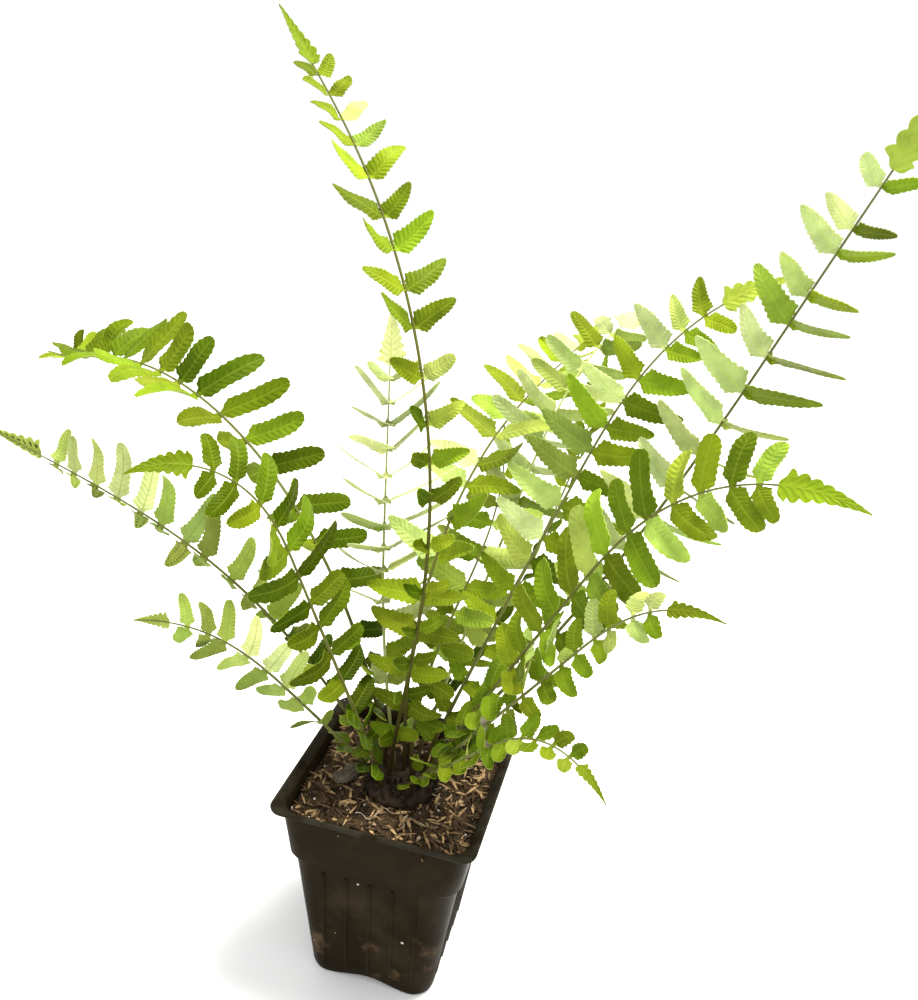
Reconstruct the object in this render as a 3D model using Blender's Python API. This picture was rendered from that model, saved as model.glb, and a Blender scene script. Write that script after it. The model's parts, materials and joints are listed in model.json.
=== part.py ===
"""A potted tokyo wood fern: a square nursery pot of soil with a crown and fifteen fronds.

Metres, +Z up. The origin is the centre of the pot's foot, and the pot's front looks to -Y.
"""
import math
import random

import bmesh
import bpy
from mathutils import Matrix, Vector, noise
from mathutils.bvhtree import BVHTree

# Square nursery pot
POT_WIDTH = 0.090
POT_HEIGHT = 0.100
FOOT_WIDTH = 0.058
WALL = 0.0016
LIP_HEIGHT = 0.0020
LIP_TOP_WIDTH = 0.0012
LIP_SLOPE_DEPTH = 0.0025
LIP_CORNER = 0.0060
LIP_STEP = 0.0008
LIP_ROUND = 0.0006
WALL_CORNER = 0.0095
BAND_TOP_HALF = 0.0418
BAND_FOOT_HALF = 0.0388
BAND_FOOT_Z = 0.0720
SKIRT_TOP_HALF = 0.0368
SKIRT_TOP_Z = 0.0700
FLOOR = 0.0024
FLOOR_PANEL_HALF = 0.0215
FOOT_ARCH = 0.0032
FOOT_BEVEL = 0.0012
FOOT_TOP_Z = 0.0022
FLOOR_HALF = 0.0245
DRAIN_RADIUS = 0.0034
DRAIN_SPACING = 0.0140
RIB_WIDTH = 0.0013
RIB_RELIEF = 0.0005
RIB_PITCH = 0.0105
RIB_FRONT_SHARE = 0.55
RIB_FOOT_Z = 0.0080
RIB_HEAD_Z = 0.0660
SIDE_RIB_SHARE = 0.92
RIBS_A_SIDE = 5
CORNER_STEPS = 4
SIDE_STEPS = 3

# Soil, crown and what lies on them
GAP = 0.0003
SOIL_LEVEL = 0.0920
SOIL_RELIEF = 0.0011
SOIL_RINGS = (0.96, 0.86, 0.75, 0.64, 0.53)
CLOD_CENTRE = (-0.0305, -0.0185)
CLOD_RADIUS = 0.0085
CLOD_HEIGHT = 0.0048
PIT_RADIUS = 0.0165
PIT_FLOOR_RADIUS = 0.0114
PIT_DEPTH = 0.0095
CROWN_RINGS = ((-0.0092, 0.0110), (-0.0060, 0.0150), (-0.0004, 0.0160))
CROWN_DOME = ((0.0010, 0.0160), (0.0024, 0.0132), (0.0030, 0.0138), (0.0044, 0.0098))
SCALE_RELIEF = 0.0012
STEM_HOLE_FLOOR = 0.0860
STEM_HOLE_RADIUS = 0.0017
STEM_HOLE_SIDES = 6
STEM_FOOT = 0.0864
STEM_START = 0.0940

LABEL_SIZE = (0.0084, 0.0008, 0.0370)
LABEL_PLACE = (0.0280, 0.0366)
LABEL_LEAN = -5.0
LABEL_HOLE_RADIUS = 0.0016
LABEL_HOLE_Z = 0.0996
LABEL_FOOT = 0.0840
LABEL_CORNER = 0.0022

DRY_LEAF_PLACE = (-0.0228, -0.0034)
DRY_LEAF_LENGTH = 0.0160
DRY_LEAF_WIDTH = 0.0080
DRY_LEAF_TURN = 68.0
DRY_LEAF_THICKNESS = 0.0008
DRY_LEAF_ARCH = 0.0012
DRY_LEAF_RIDGE = 0.0009
DRY_LEAF_ROWS = 7

# Fronds
RACHIS_FOOT = 0.00112
RACHIS_TIP = 0.00055
RISE_SHARE = 0.06
ARCH_SHARE = 0.80
ROOT_LENGTH = 0.0014
ROOT_PULL = 0.05
STALK = 0.0010
STALK_HALF_WIDTH = 0.0008
TURNED = 22.0
TURN_RAMP = (0.25, 0.70, 1.0, 1.0)
BLADE_KEEL = 0.0009
BLADE_TIP_KEEL = 0.0007
FIRST_PINNA = 0.065
END_START = 0.885
END_GAP = 0.0050
CLOSING = 0.18
PAIR_JITTER = 0.35
SIZE_RANGE = (0.80, 1.10)
TURN_RANGE = (-18.0, 18.0)
CURL_RANGE = (-0.05, 0.30)
BOW_RANGE = (-0.02, 0.18)
WANDER_RANGE = (-13.0, 13.0)
LEAD_RANGE = (-9.0, 9.0)
MOST_LEAD = 46.0
TIP_LEAD_FROM = 0.60
FOOT_SIZE = 0.52
GROWS_FROM = 0.04
GROWS_OVER = 0.44
TAPERS_FROM = 0.60
TAPERS_OVER = 0.36
TAPER_LOSS = 0.80
LEAST_SIZE = 0.20
BARE_FOOT = 0.03
NARROWEST = 0.0030
WIDTH_SHARE = 0.36
WIDEST = 0.0120
SEED = 3733

# Each frond: its seat in the crown (ring radius in mm, angle), heading, length in mm, lean of the stem,
# droop, where along it the droop comes, sideways sweep, roll of its face, fold of the left and the right
# leaflets, louvre twist of the left and the right, their forward sweep and how much more of it they have at
# the end, their greatest length in mm, how much later it comes along the frond, and number of pairs.
FRONDS = (
    ("frond_01_tall_left", 5.0, 190, 145, 380, 99, 69, 0.53, -10, 0, 22, 36, 10, 10, 30, 20, 20, 0.22, 19),
    ("frond_02_tall_right", 10.5, 5, 15, 352, 53, -15, 0.34, -9, 62, 10, 14, 18, 70, 14, 22, 26, 0.05, 19),
    ("frond_03_centre_right", 10.5, 35, 41, 279, 67, 100, 0.98, -24, 52, 12, 15, 10, 10, 10, 22, 25, 0.05, 17),
    ("frond_04_right_arch", 10.5, 342, 345, 258, 63, 122, 0.93, -8, 58, 8, 8, -4, -4, 12, 22, 24, 0.05, 18),
    ("frond_05_right_small", 10.5, 315, 337, 202, 55, 121, 1.04, -16, 60, 8, 8, 0, 20, 14, 22, 13, 0.0, 14),
    ("frond_06_low_right", 10.5, 285, 330, 145, 47, 113, 0.90, -13, 25, 15, 15, 8, 8, 25, 15, 11, 0.0, 12),
    ("frond_07_left_top", 10.5, 148, 164, 402, 71, 87, 0.41, -29, -35, 60, 15, 5, 34, -26, 60, 30, 0.0, 19),
    ("frond_08_leftmost", 10.5, 178, 175, 240, 51, 30, 0.43, 11, 92, 12, 60, 6, 0, 6, 22, 25, 0.0, 16),
    ("frond_09_left_mid", 10.5, 238, 211, 209, 69, 160, 0.98, 18, -50, 10, 15, 5, 5, 10, 22, 23, 0.05, 13),
    ("frond_10_low_left", 10.5, 208, 187, 135, 42, 65, 0.84, 6, 85, 8, 10, 0, 0, 12, 22, 20, 0.0, 10),
    ("frond_11_back_pale", 5.0, 140, 132, 211, 57, -29, 0.22, 0, 0, 25, 25, 86, 74, 28, 15, 30, 0.0, 15),
    ("frond_12_back_right", 10.5, 65, 66, 265, 63, 103, 0.91, -2, 15, 10, 15, 40, 76, 10, 22, 29, 0.0, 15),
    ("frond_13_centre_arch", 5.0, 90, 81, 298, 103, 88, 0.35, -10, 0, 20, 30, 8, 8, 10, 22, 29, 0.0, 16),
    ("frond_14_centre", 5.0, 30, 52, 182, 101, 63, 0.30, 60, 0, 10, 10, 10, 10, 6, 22, 22, 0.0, 10),
    ("frond_15_back_dark", 10.5, 98, 67, 275, 32, -2, 0.52, 28, 0, 60, 60, 10, 10, 40, 6, 16, 0.0, 13),
)

# A leaflet's sections: place along it, its front and its rear edge as a share of the full width
LONG_BLADE = ((0.09, 0.57, 0.45), (0.34, 0.43, 0.38), (0.60, 0.38, 0.36), (0.88, 0.22, 0.21))
SHORT_BLADE = ((0.14, 0.56, 0.46), (0.46, 0.43, 0.40), (0.82, 0.30, 0.28))
TINY_BLADE = ((0.20, 0.52, 0.46), (0.74, 0.38, 0.36))
LONG_FROM = 0.0165
SHORT_FROM = 0.0090

# The lobed end of a frond: place along it, and its left and right edge as a share of its greatest half width
END_BLADE = ((0.13, 0.95, 0.60), (0.18, 0.62, 0.92), (0.26, 0.86, 0.55), (0.32, 0.50, 0.80), (0.42, 0.70, 0.44),
             (0.50, 0.40, 0.62), (0.60, 0.52, 0.32), (0.70, 0.28, 0.42), (0.82, 0.28, 0.20))
END_SHARE = 0.24

# Ways to bend a leaflet clear: change of fold, of forward sweep, and share of its length
BENDS = ((0, 0, 1.0), (14, 0, 1.0), (-14, 0, 1.0), (0, 14, 1.0), (0, -14, 1.0), (26, 6, 0.95), (-26, 6, 0.95),
         (14, 22, 0.9), (-14, 22, 0.9), (40, 10, 0.85), (-40, 10, 0.85), (0, 34, 0.8), (20, -20, 0.7),
         (-20, -20, 0.7), (0, 0, 0.6), (25, 25, 0.55), (-25, 25, 0.55), (0, 0, 0.42), (30, 0, 0.42),
         (-30, 0, 0.42))
CLEAR = 0.0005
MOST_FOLD = 62.0

GREEN = (0.13, 0.27, 0.045)
PALE_GREEN = (0.24, 0.37, 0.11)
DARK_GREEN = (0.075, 0.165, 0.030)
GREENS = {"frond_11_back_pale": PALE_GREEN, "frond_12_back_right": PALE_GREEN, "frond_10_low_left": DARK_GREEN,
          "frond_15_back_dark": DARK_GREEN}


for old in list(bpy.data.objects):
    bpy.data.objects.remove(old, do_unlink=True)

plant = bpy.data.collections.new("potted_tokyo_wood_fern")
bpy.context.scene.collection.children.link(plant)
guides = bpy.data.collections.new("cutters")
bpy.context.scene.collection.children.link(guides)
rng = random.Random(SEED)


def paint(name, rgb, roughness):
    """A plain material of one colour."""
    material = bpy.data.materials.new(name)
    material.use_nodes = True
    shader = material.node_tree.nodes["Principled BSDF"]
    shader.inputs["Base Color"].default_value = (*rgb, 1.0)
    shader.inputs["Roughness"].default_value = roughness
    shader.inputs["Metallic"].default_value = 0.0
    return material


def as_object(name, bm, collection, material=None):
    """Closes the end that a loft began from and turns a bmesh into an object with its faces pointing out."""
    bmesh.ops.holes_fill(bm, edges=[edge for edge in bm.edges if edge.is_boundary])
    bmesh.ops.recalc_face_normals(bm, faces=bm.faces)
    mesh = bpy.data.meshes.new(name)
    bm.to_mesh(mesh)
    bm.free()
    obj = bpy.data.objects.new(name, mesh)
    collection.objects.link(obj)
    if material:
        mesh.materials.append(material)
    return obj


def first_ring(bm, ring):
    """A filled polygon through the points of ring."""
    made = bmesh.ops.create_circle(bm, cap_ends=True, radius=1.0, segments=len(ring))
    face = made["verts"][0].link_faces[0]
    for vert, point in zip(face.verts, ring):
        vert.co = point
    return face


def grow(bm, face, ring):
    """Extrudes a face and moves its corners to the points of ring, in the face's own order."""
    face = bmesh.ops.extrude_discrete_faces(bm, faces=[face])["faces"][0]
    for vert, point in zip(face.verts, ring):
        vert.co = point
    return face


def loft(rings):
    """A closed body through rings of the same number of points."""
    bm = bmesh.new()
    face = first_ring(bm, rings[0])
    for ring in rings[1:]:
        face = grow(bm, face, ring)
    return bm


def bvh_of(obj):
    """A search tree of an object's mesh."""
    bm = bmesh.new()
    bm.from_mesh(obj.data)
    tree = BVHTree.FromBMesh(bm)
    bm.free()
    return tree


def cut(obj, cutters, operation="DIFFERENCE"):
    """Cuts objects out of obj, or joins them to it, and removes them."""
    bundle = bpy.data.collections.new(obj.name + "_" + operation.lower())
    guides.children.link(bundle)
    for cutter in cutters:
        guides.objects.unlink(cutter)
        bundle.objects.link(cutter)
    boolean = obj.modifiers.new("cut", "BOOLEAN")
    boolean.operation = operation
    boolean.operand_type = "COLLECTION"
    boolean.collection = bundle
    boolean.solver = "EXACT"
    bpy.context.view_layer.update()
    solid = bpy.data.meshes.new_from_object(obj.evaluated_get(bpy.context.evaluated_depsgraph_get()))
    obj.modifiers.clear()
    obj.data = solid
    for cutter in cutters:
        bpy.data.objects.remove(cutter, do_unlink=True)
    bpy.data.collections.remove(bundle)


def post(name, x, y, low, high, radius, sides):
    """An upright prism, used as a cutter."""
    bm = bmesh.new()
    bmesh.ops.create_cone(bm, cap_ends=True, segments=sides, radius1=radius, radius2=radius, depth=high - low)
    bmesh.ops.translate(bm, verts=bm.verts, vec=(x, y, (high + low) / 2))
    obj = as_object(name, bm, guides)
    obj.hide_render = True
    obj.display_type = "WIRE"
    return obj


# Pot
def square_ring(half, corner, z, arch=0.0):
    """A rounded square, with the middle of each side raised by arch."""
    ring = []
    for side in range(4):
        turn = math.radians(90 * side - 90)
        straight = half - corner
        points = []
        for step in range(SIDE_STEPS):
            share = step / SIDE_STEPS
            rise = arch * math.sin(math.pi * share) ** 2
            points.append((half, -straight + 2 * straight * share, rise))
        for step in range(CORNER_STEPS):
            bend = math.radians(90) * step / CORNER_STEPS
            points.append((straight + corner * math.cos(bend), straight + corner * math.sin(bend), 0.0))
        for x, y, rise in points:
            ring.append(Vector((x * math.cos(turn) - y * math.sin(turn),
                                x * math.sin(turn) + y * math.cos(turn), z + rise)))
    return ring


def wall_half(z):
    """Half the pot's outer width at a height, without the lip."""
    if z <= SKIRT_TOP_Z:
        return FOOT_WIDTH / 2 + (SKIRT_TOP_HALF - FOOT_WIDTH / 2) * z / SKIRT_TOP_Z
    share = (z - BAND_FOOT_Z) / (POT_HEIGHT - LIP_HEIGHT - BAND_FOOT_Z)
    return BAND_FOOT_HALF + (BAND_TOP_HALF - BAND_FOOT_HALF) * max(0.0, share)


def inner_ring(z, inset=0.0):
    """The pot's inner wall at a height, drawn in by inset."""
    return square_ring(wall_half(z) - WALL - inset, WALL_CORNER - WALL - inset, z)


lip_z = POT_HEIGHT - LIP_HEIGHT
pot_rings = [
    square_ring(FLOOR_PANEL_HALF, WALL_CORNER, 0.0),
    square_ring(FOOT_WIDTH / 2 - FOOT_BEVEL, WALL_CORNER - FOOT_BEVEL, 0.0, FOOT_ARCH),
    square_ring(wall_half(FOOT_TOP_Z), WALL_CORNER, FOOT_TOP_Z, FOOT_ARCH * 0.6),
    square_ring(wall_half(SKIRT_TOP_Z), WALL_CORNER, SKIRT_TOP_Z),
    square_ring(BAND_FOOT_HALF, WALL_CORNER, BAND_FOOT_Z),
    square_ring(BAND_TOP_HALF, WALL_CORNER, lip_z - LIP_STEP),
    square_ring(POT_WIDTH / 2 - LIP_ROUND, LIP_CORNER, lip_z),
    square_ring(POT_WIDTH / 2, LIP_CORNER + LIP_ROUND, lip_z + 2 * LIP_ROUND),
    square_ring(POT_WIDTH / 2 - LIP_ROUND, LIP_CORNER, POT_HEIGHT),
    square_ring(POT_WIDTH / 2 - LIP_ROUND - LIP_TOP_WIDTH, LIP_CORNER, POT_HEIGHT),
    square_ring(BAND_TOP_HALF - WALL, WALL_CORNER - WALL, POT_HEIGHT - LIP_SLOPE_DEPTH),
    inner_ring(BAND_FOOT_Z + 0.0010),
    inner_ring(SKIRT_TOP_Z - 0.0010),
    inner_ring(FLOOR + FOOT_ARCH),
    square_ring(FLOOR_HALF, WALL_CORNER, FLOOR),
]
pot = as_object("pot", loft(pot_rings), plant, paint("pot_plastic", (0.022, 0.021, 0.020), 0.55))

ribs = []
rib_length = RIB_HEAD_Z - RIB_FOOT_Z
rib_middle = (RIB_HEAD_Z + RIB_FOOT_Z) / 2
rib_slope = (wall_half(RIB_HEAD_Z) - wall_half(RIB_FOOT_Z)) / rib_length
for side in range(4):
    turn = math.radians(90 * side)
    for number in range(RIBS_A_SIDE):
        bm = bmesh.new()
        bmesh.ops.create_cube(bm, size=1.0)
        bmesh.ops.scale(bm, verts=bm.verts, vec=(RIB_WIDTH, 2 * RIB_RELIEF, rib_length))
        for vert in bm.verts:
            if vert.co.y < 0:
                vert.co.x *= RIB_FRONT_SHARE
        offset = (number - (RIBS_A_SIDE - 1) / 2) * RIB_PITCH * (SIDE_RIB_SHARE if side % 2 else 1.0)
        for vert in bm.verts:
            x = vert.co.x + offset
            y = vert.co.y - wall_half(rib_middle) - vert.co.z * rib_slope
            vert.co = (x * math.cos(turn) - y * math.sin(turn), x * math.sin(turn) + y * math.cos(turn),
                       vert.co.z + rib_middle)
        ribs.append(as_object("rib", bm, guides))
cut(pot, ribs, "UNION")

drains = []
for x in (-DRAIN_SPACING, DRAIN_SPACING):
    for y in (-DRAIN_SPACING, DRAIN_SPACING):
        drains.append(post("drain", x, y, -0.002, FLOOR + 0.002, DRAIN_RADIUS, 8))
cut(pot, drains)


# Soil, with a pit for the crown
def round_ring(radius, z, count, points):
    """A circle of as many points as a square ring has, in the same directions."""
    ring = []
    for point in points[:count]:
        angle = math.atan2(point.y, point.x)
        ring.append(Vector((radius * math.cos(angle), radius * math.sin(angle), z)))
    return ring


def soil_height(x, y):
    """The height of the soil's uneven top."""
    bumps = noise.noise(Vector((x * 90, y * 90, 3.1))) + 0.5 * noise.noise(Vector((x * 210, y * 210, 8.4)))
    bumps *= min(1.0, max(0.2, (math.hypot(x, y) - PIT_RADIUS) / 0.006))
    clod = math.hypot(x - CLOD_CENTRE[0], y - CLOD_CENTRE[1]) / CLOD_RADIUS
    return SOIL_LEVEL + SOIL_RELIEF * bumps + CLOD_HEIGHT * math.exp(-2.2 * clod * clod)


soil_edge = inner_ring(SOIL_LEVEL, GAP)
soil_rings = [
    square_ring(FLOOR_HALF, WALL_CORNER, FLOOR + GAP),
    inner_ring(FLOOR + FOOT_ARCH + GAP, GAP),
    inner_ring(SKIRT_TOP_Z - 0.0010, GAP),
    inner_ring(BAND_FOOT_Z + 0.0010 + GAP, GAP),
]
soil_rings.append([Vector((p.x, p.y, SOIL_LEVEL - 0.0006)) for p in soil_edge])
for share in SOIL_RINGS:
    ring = []
    for point, circle in zip(soil_edge, round_ring(PIT_RADIUS + 0.0012, 0.0, len(soil_edge), soil_edge)):
        blend = (share - SOIL_RINGS[-1]) / (1.0 - SOIL_RINGS[-1])
        x = circle.x + (point.x - circle.x) * blend
        y = circle.y + (point.y - circle.y) * blend
        ring.append(Vector((x, y, soil_height(x, y))))
    soil_rings.append(ring)
soil_rings.append(round_ring(PIT_RADIUS, SOIL_LEVEL, len(soil_edge), soil_edge))
soil_rings.append(round_ring(PIT_RADIUS - 0.0011, SOIL_LEVEL - 0.0060, len(soil_edge), soil_edge))
soil_rings.append(round_ring(PIT_FLOOR_RADIUS, SOIL_LEVEL - PIT_DEPTH, len(soil_edge), soil_edge))
soil = as_object("soil", loft(soil_rings), plant, paint("soil_mix", (0.050, 0.033, 0.022), 0.95))


# Crown: a scaly mound with a hole for each stem
def crown_ring(radius, z, relief, shift):
    """A ring of the crown, with every other point drawn in where scales part."""
    ring = round_ring(radius, z, len(soil_edge), soil_edge)
    for number, point in enumerate(ring):
        drawn = 1.0 - relief * ((number + shift) % 2) / radius
        point.x *= drawn
        point.y *= drawn
    return ring


crown_rings = [crown_ring(radius, SOIL_LEVEL + z, 0.0, 0) for z, radius in CROWN_RINGS]
for number, (z, radius) in enumerate(CROWN_DOME):
    crown_rings.append(crown_ring(radius, SOIL_LEVEL + z, SCALE_RELIEF, number // 2))
crown = as_object("crown", loft(crown_rings), plant, paint("crown_scales", (0.060, 0.036, 0.020), 0.85))

holes = []
seats = {}
for name, ring_mm, angle, *rest in FRONDS:
    x = ring_mm / 1000 * math.cos(math.radians(angle))
    y = ring_mm / 1000 * math.sin(math.radians(angle))
    seats[name] = (x, y)
    holes.append(post("stem_hole", x, y, STEM_HOLE_FLOOR, POT_HEIGHT + 0.004, STEM_HOLE_RADIUS,
                      STEM_HOLE_SIDES))
cut(crown, holes)

# Blank label stake
bm = bmesh.new()
bmesh.ops.create_cube(bm, size=1.0)
bmesh.ops.scale(bm, verts=bm.verts, vec=LABEL_SIZE)
bmesh.ops.bevel(bm, geom=[e for e in bm.edges if abs(e.verts[0].co.y - e.verts[1].co.y) > 1e-5],
                offset=LABEL_CORNER, segments=3, affect="EDGES", profile=0.5)
label = as_object("plant_label", bm, plant, paint("label_card", (0.50, 0.47, 0.41), 0.7))
label.location = (LABEL_PLACE[0], LABEL_PLACE[1], LABEL_FOOT + LABEL_SIZE[2] / 2)
label.rotation_euler = (0.0, math.radians(LABEL_LEAN), 0.0)
bm = bmesh.new()
bmesh.ops.create_cone(bm, cap_ends=True, segments=14, radius1=LABEL_HOLE_RADIUS, radius2=LABEL_HOLE_RADIUS,
                      depth=0.004)
bmesh.ops.rotate(bm, verts=bm.verts, cent=(0, 0, 0), matrix=Matrix.Rotation(math.radians(90), 3, "X"))
eye = as_object("label_eye", bm, guides)
eye.location = (LABEL_PLACE[0], LABEL_PLACE[1], LABEL_HOLE_Z)
eye.rotation_euler = label.rotation_euler
cut(label, [eye])

slot = bmesh.new()
bmesh.ops.create_cube(slot, size=1.0)
bmesh.ops.scale(slot, verts=slot.verts,
                vec=(LABEL_SIZE[0] + 2 * GAP, LABEL_SIZE[1] + 2 * GAP, LABEL_SIZE[2]))
slot_cutter = as_object("label_slot", slot, guides)
slot_cutter.location = (LABEL_PLACE[0], LABEL_PLACE[1], LABEL_FOOT + LABEL_SIZE[2] / 2 - GAP)
slot_cutter.rotation_euler = label.rotation_euler
cut(soil, [slot_cutter])

# A dried leaflet lying on the soil
bm = bmesh.new()
leaf_face = None
for row in range(DRY_LEAF_ROWS):
    share = row / (DRY_LEAF_ROWS - 1)
    half = DRY_LEAF_WIDTH / 2 * math.sin(math.pi * (0.12 + 0.80 * share)) ** 0.8
    along = (share - 0.5) * DRY_LEAF_LENGTH
    side_z = DRY_LEAF_ARCH * 0.2 * math.sin(math.pi * share)
    ridge_z = DRY_LEAF_ARCH * math.sin(math.pi * share) + DRY_LEAF_RIDGE
    ring = [Vector((along, -half, side_z)), Vector((along, 0.0, ridge_z)), Vector((along, half, side_z)),
            Vector((along, half, side_z + DRY_LEAF_THICKNESS)),
            Vector((along, 0.0, ridge_z + DRY_LEAF_THICKNESS)),
            Vector((along, -half, side_z + DRY_LEAF_THICKNESS))]
    leaf_face = grow(bm, leaf_face, ring) if leaf_face else first_ring(bm, ring)
dry_leaf = as_object("dried_leaf", bm, plant, paint("dry_leaf", (0.30, 0.27, 0.22), 0.9))
dry_leaf.rotation_euler = (0.0, 0.0, math.radians(DRY_LEAF_TURN))
bpy.context.view_layer.update()
soil_tree = bvh_of(soil)
lowest = POT_HEIGHT
for vert in dry_leaf.data.vertices:
    spot = dry_leaf.matrix_world @ vert.co
    hit = soil_tree.ray_cast(Vector((spot.x + DRY_LEAF_PLACE[0], spot.y + DRY_LEAF_PLACE[1], 0.2)),
                             Vector((0, 0, -1)))[0]
    lowest = min(lowest, spot.z - hit.z)
dry_leaf.location = (DRY_LEAF_PLACE[0], DRY_LEAF_PLACE[1], GAP - lowest)


# Fronds
def smooth(value):
    """An S curve from 0 to 1."""
    value = min(1.0, max(0.0, value))
    return value * value * (3 - 2 * value)


class Spine:
    """The curve of one frond's stem, with its sideways and upward directions."""

    STEPS = 80

    def __init__(self, seat, heading, length, lean, droop, droop_at, sweep, roll):
        self.length = length
        self.points = [Vector((seat[0], seat[1], STEM_START))]
        self.frames = []
        for step in range(self.STEPS):
            share = (step + 0.5) / self.STEPS
            rise = lean - droop * smooth((share - (droop_at - ARCH_SHARE / 2)) / ARCH_SHARE)
            rise = 90 + (rise - 90) * min(1.0, share / RISE_SHARE)
            up = math.radians(rise)
            turn = math.radians(heading + sweep * share ** 1.5)
            tangent = Vector((math.cos(up) * math.cos(turn), math.cos(up) * math.sin(turn), math.sin(up)))
            left = Vector((-math.sin(turn), math.cos(turn), 0.0))
            normal = tangent.cross(left)
            tilt = math.radians(roll) * smooth(share / 0.5)
            self.frames.append((tangent, left * math.cos(tilt) + normal * math.sin(tilt),
                                normal * math.cos(tilt) - left * math.sin(tilt)))
            self.points.append(self.points[-1] + tangent * length / self.STEPS)

    def at(self, share):
        """Position, tangent, left and normal at a share of the length."""
        place = min(max(share, 0.0), 0.99999) * self.STEPS
        index = int(place)
        spot = self.points[index].lerp(self.points[index + 1], place - index)
        return (spot, *self.frames[index])

    def section(self, share):
        """The stem's three-sided section: left edge, right edge and keel."""
        spot, _, left, normal = self.at(share)
        radius = RACHIS_FOOT + (RACHIS_TIP - RACHIS_FOOT) * share
        return [spot + left * radius + normal * radius * 0.5, spot - left * radius + normal * radius * 0.5,
                spot - normal * radius]


def leaflet_length(share, greatest, late):
    """How long the leaflets are along a frond: small at the foot, longest past the middle."""
    grown = FOOT_SIZE + (1.0 - FOOT_SIZE) * smooth((share - GROWS_FROM - late) / GROWS_OVER)
    tapered = 1.0 - TAPER_LOSS * max(0.0, (share - TAPERS_FROM) / TAPERS_OVER) ** 1.7
    return greatest * grown * max(LEAST_SIZE, tapered)


def blade_rings(root, tangent, reach, along, up, length, width, twist, curl, bow, sections, swell=0.0):
    """Sections of a leaflet as rear edge, front edge and keel, and its tip."""
    rings = []
    if abs(twist) > TURNED:
        turn = math.radians(twist) / 2
        wide = tangent * math.cos(turn) + up * math.sin(turn)
        face = up * math.cos(turn) - tangent * math.sin(turn)
        half = STALK_HALF_WIDTH + swell
        rings.append([root - wide * half, root + wide * half, root - face * (BLADE_KEEL + swell)])
    for number, (share, front, rear) in enumerate(sections):
        bend = length * share * share
        middle = root + reach * length * share - up * curl * bend + along * bow * bend
        turn = math.radians(twist) * (1.0 if abs(twist) > TURNED else TURN_RAMP[number])
        edge = along if number else (along + tangent * 1.5).normalized()
        wide = edge * math.cos(turn) + up * math.sin(turn)
        face = up * math.cos(turn) - along * math.sin(turn)
        keel = BLADE_KEEL + (BLADE_TIP_KEEL - BLADE_KEEL) * share
        rings.append([middle - wide * (rear * width + swell) + face * swell,
                      middle + wide * (front * width + swell) + face * swell,
                      middle - face * (keel + swell)])
    tip = root + reach * (length + swell) - up * curl * length + along * bow * length
    return rings, tip


def blade_tree(rings, tip):
    """A search tree of a leaflet, to test whether it is clear, with each of its sides split both ways."""
    points = [point for ring in rings for point in ring] + [tip]
    faces = [(0, 1, 2)]
    for number in range(len(rings) - 1):
        low = 3 * number
        for corner in range(3):
            a, b = low + corner, low + (corner + 1) % 3
            faces += [(a, b, b + 3), (a, b + 3, a + 3), (a, b, a + 3), (b, b + 3, a + 3)]
    low = 3 * (len(rings) - 1)
    for corner in range(3):
        faces.append((low + corner, low + (corner + 1) % 3, len(points) - 1))
    return BVHTree.FromPolygons(points, faces)


def leaflet_roots(spine, share, half_root, corner):
    """Where a leaflet meets the stem: its two corners with a point near the keel of its rear or front end."""
    back = spine.section(share - half_root)
    fore = spine.section(share + half_root)
    roots = []
    for end in (back, fore):
        roots.append([back[corner], fore[corner], end[2].lerp(end[corner], ROOT_PULL)])
    return roots


def split_outward(face, inside):
    """Splits the four-sided faces next to face along the diagonal that stands out from the point inside."""
    for edge in face.edges:
        for side in edge.link_faces:
            if side == face or len(side.verts) != 4:
                continue
            a, b, c, d = side.verts
            out = (c.co - a.co).cross(d.co - b.co)
            if out.dot(side.calc_center_median() - inside) < 0:
                out.negate()
            if (a.co + c.co).dot(out) > (b.co + d.co).dot(out):
                bmesh.utils.face_split(side, a, c)
            else:
                bmesh.utils.face_split(side, b, d)


def middle_of(points):
    """The mean of some points."""
    return sum(points, Vector()) / len(points)


def draw_out(bm, face, ring):
    """Extrudes a three-sided section to the next one and splits its sides outward."""
    before = [vert.co.copy() for vert in face.verts]
    face = grow(bm, face, ring)
    split_outward(face, middle_of(before + [vert.co for vert in face.verts]))
    return face


def sprout(bm, face, corners, rings, tip):
    """Extrudes a leaflet out of a four-sided face of the stem and draws it to its tip."""
    rear, front, low_front, low_rear = corners
    order = {rear: 0, front: 1, low_front: 2, low_rear: 2}
    places = [order[vert] for vert in face.verts]
    before = [vert.co.copy() for vert in face.verts]
    face = grow(bm, face, [rings[0][place] for place in places])
    edges = [vert for vert, place in zip(face.verts, places) if place < 2]
    keel = [vert for vert, place in zip(face.verts, places) if place == 2]
    bmesh.ops.pointmerge(bm, verts=keel, merge_co=rings[0][2])
    face = bm.faces.get((*edges, keel[0] if keel[0].is_valid else keel[1]))
    split_outward(face, middle_of(before + [vert.co for vert in face.verts]))
    # the corners of the section, in the order of the face
    places = [min(range(3), key=lambda place: (vert.co - rings[0][place]).length) for vert in face.verts]
    for ring in rings[1:]:
        face = draw_out(bm, face, [ring[place] for place in places])
    face = grow(bm, face, [tip, tip, tip])
    bmesh.ops.pointmerge(bm, verts=list(face.verts), merge_co=tip)


spines = {}
for name, _, _, heading, long_mm, lean, droop, droop_at, sweep, roll, *rest in FRONDS:
    spines[name] = Spine(seats[name], heading, long_mm / 1000, lean, droop, droop_at, sweep, roll)


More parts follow.
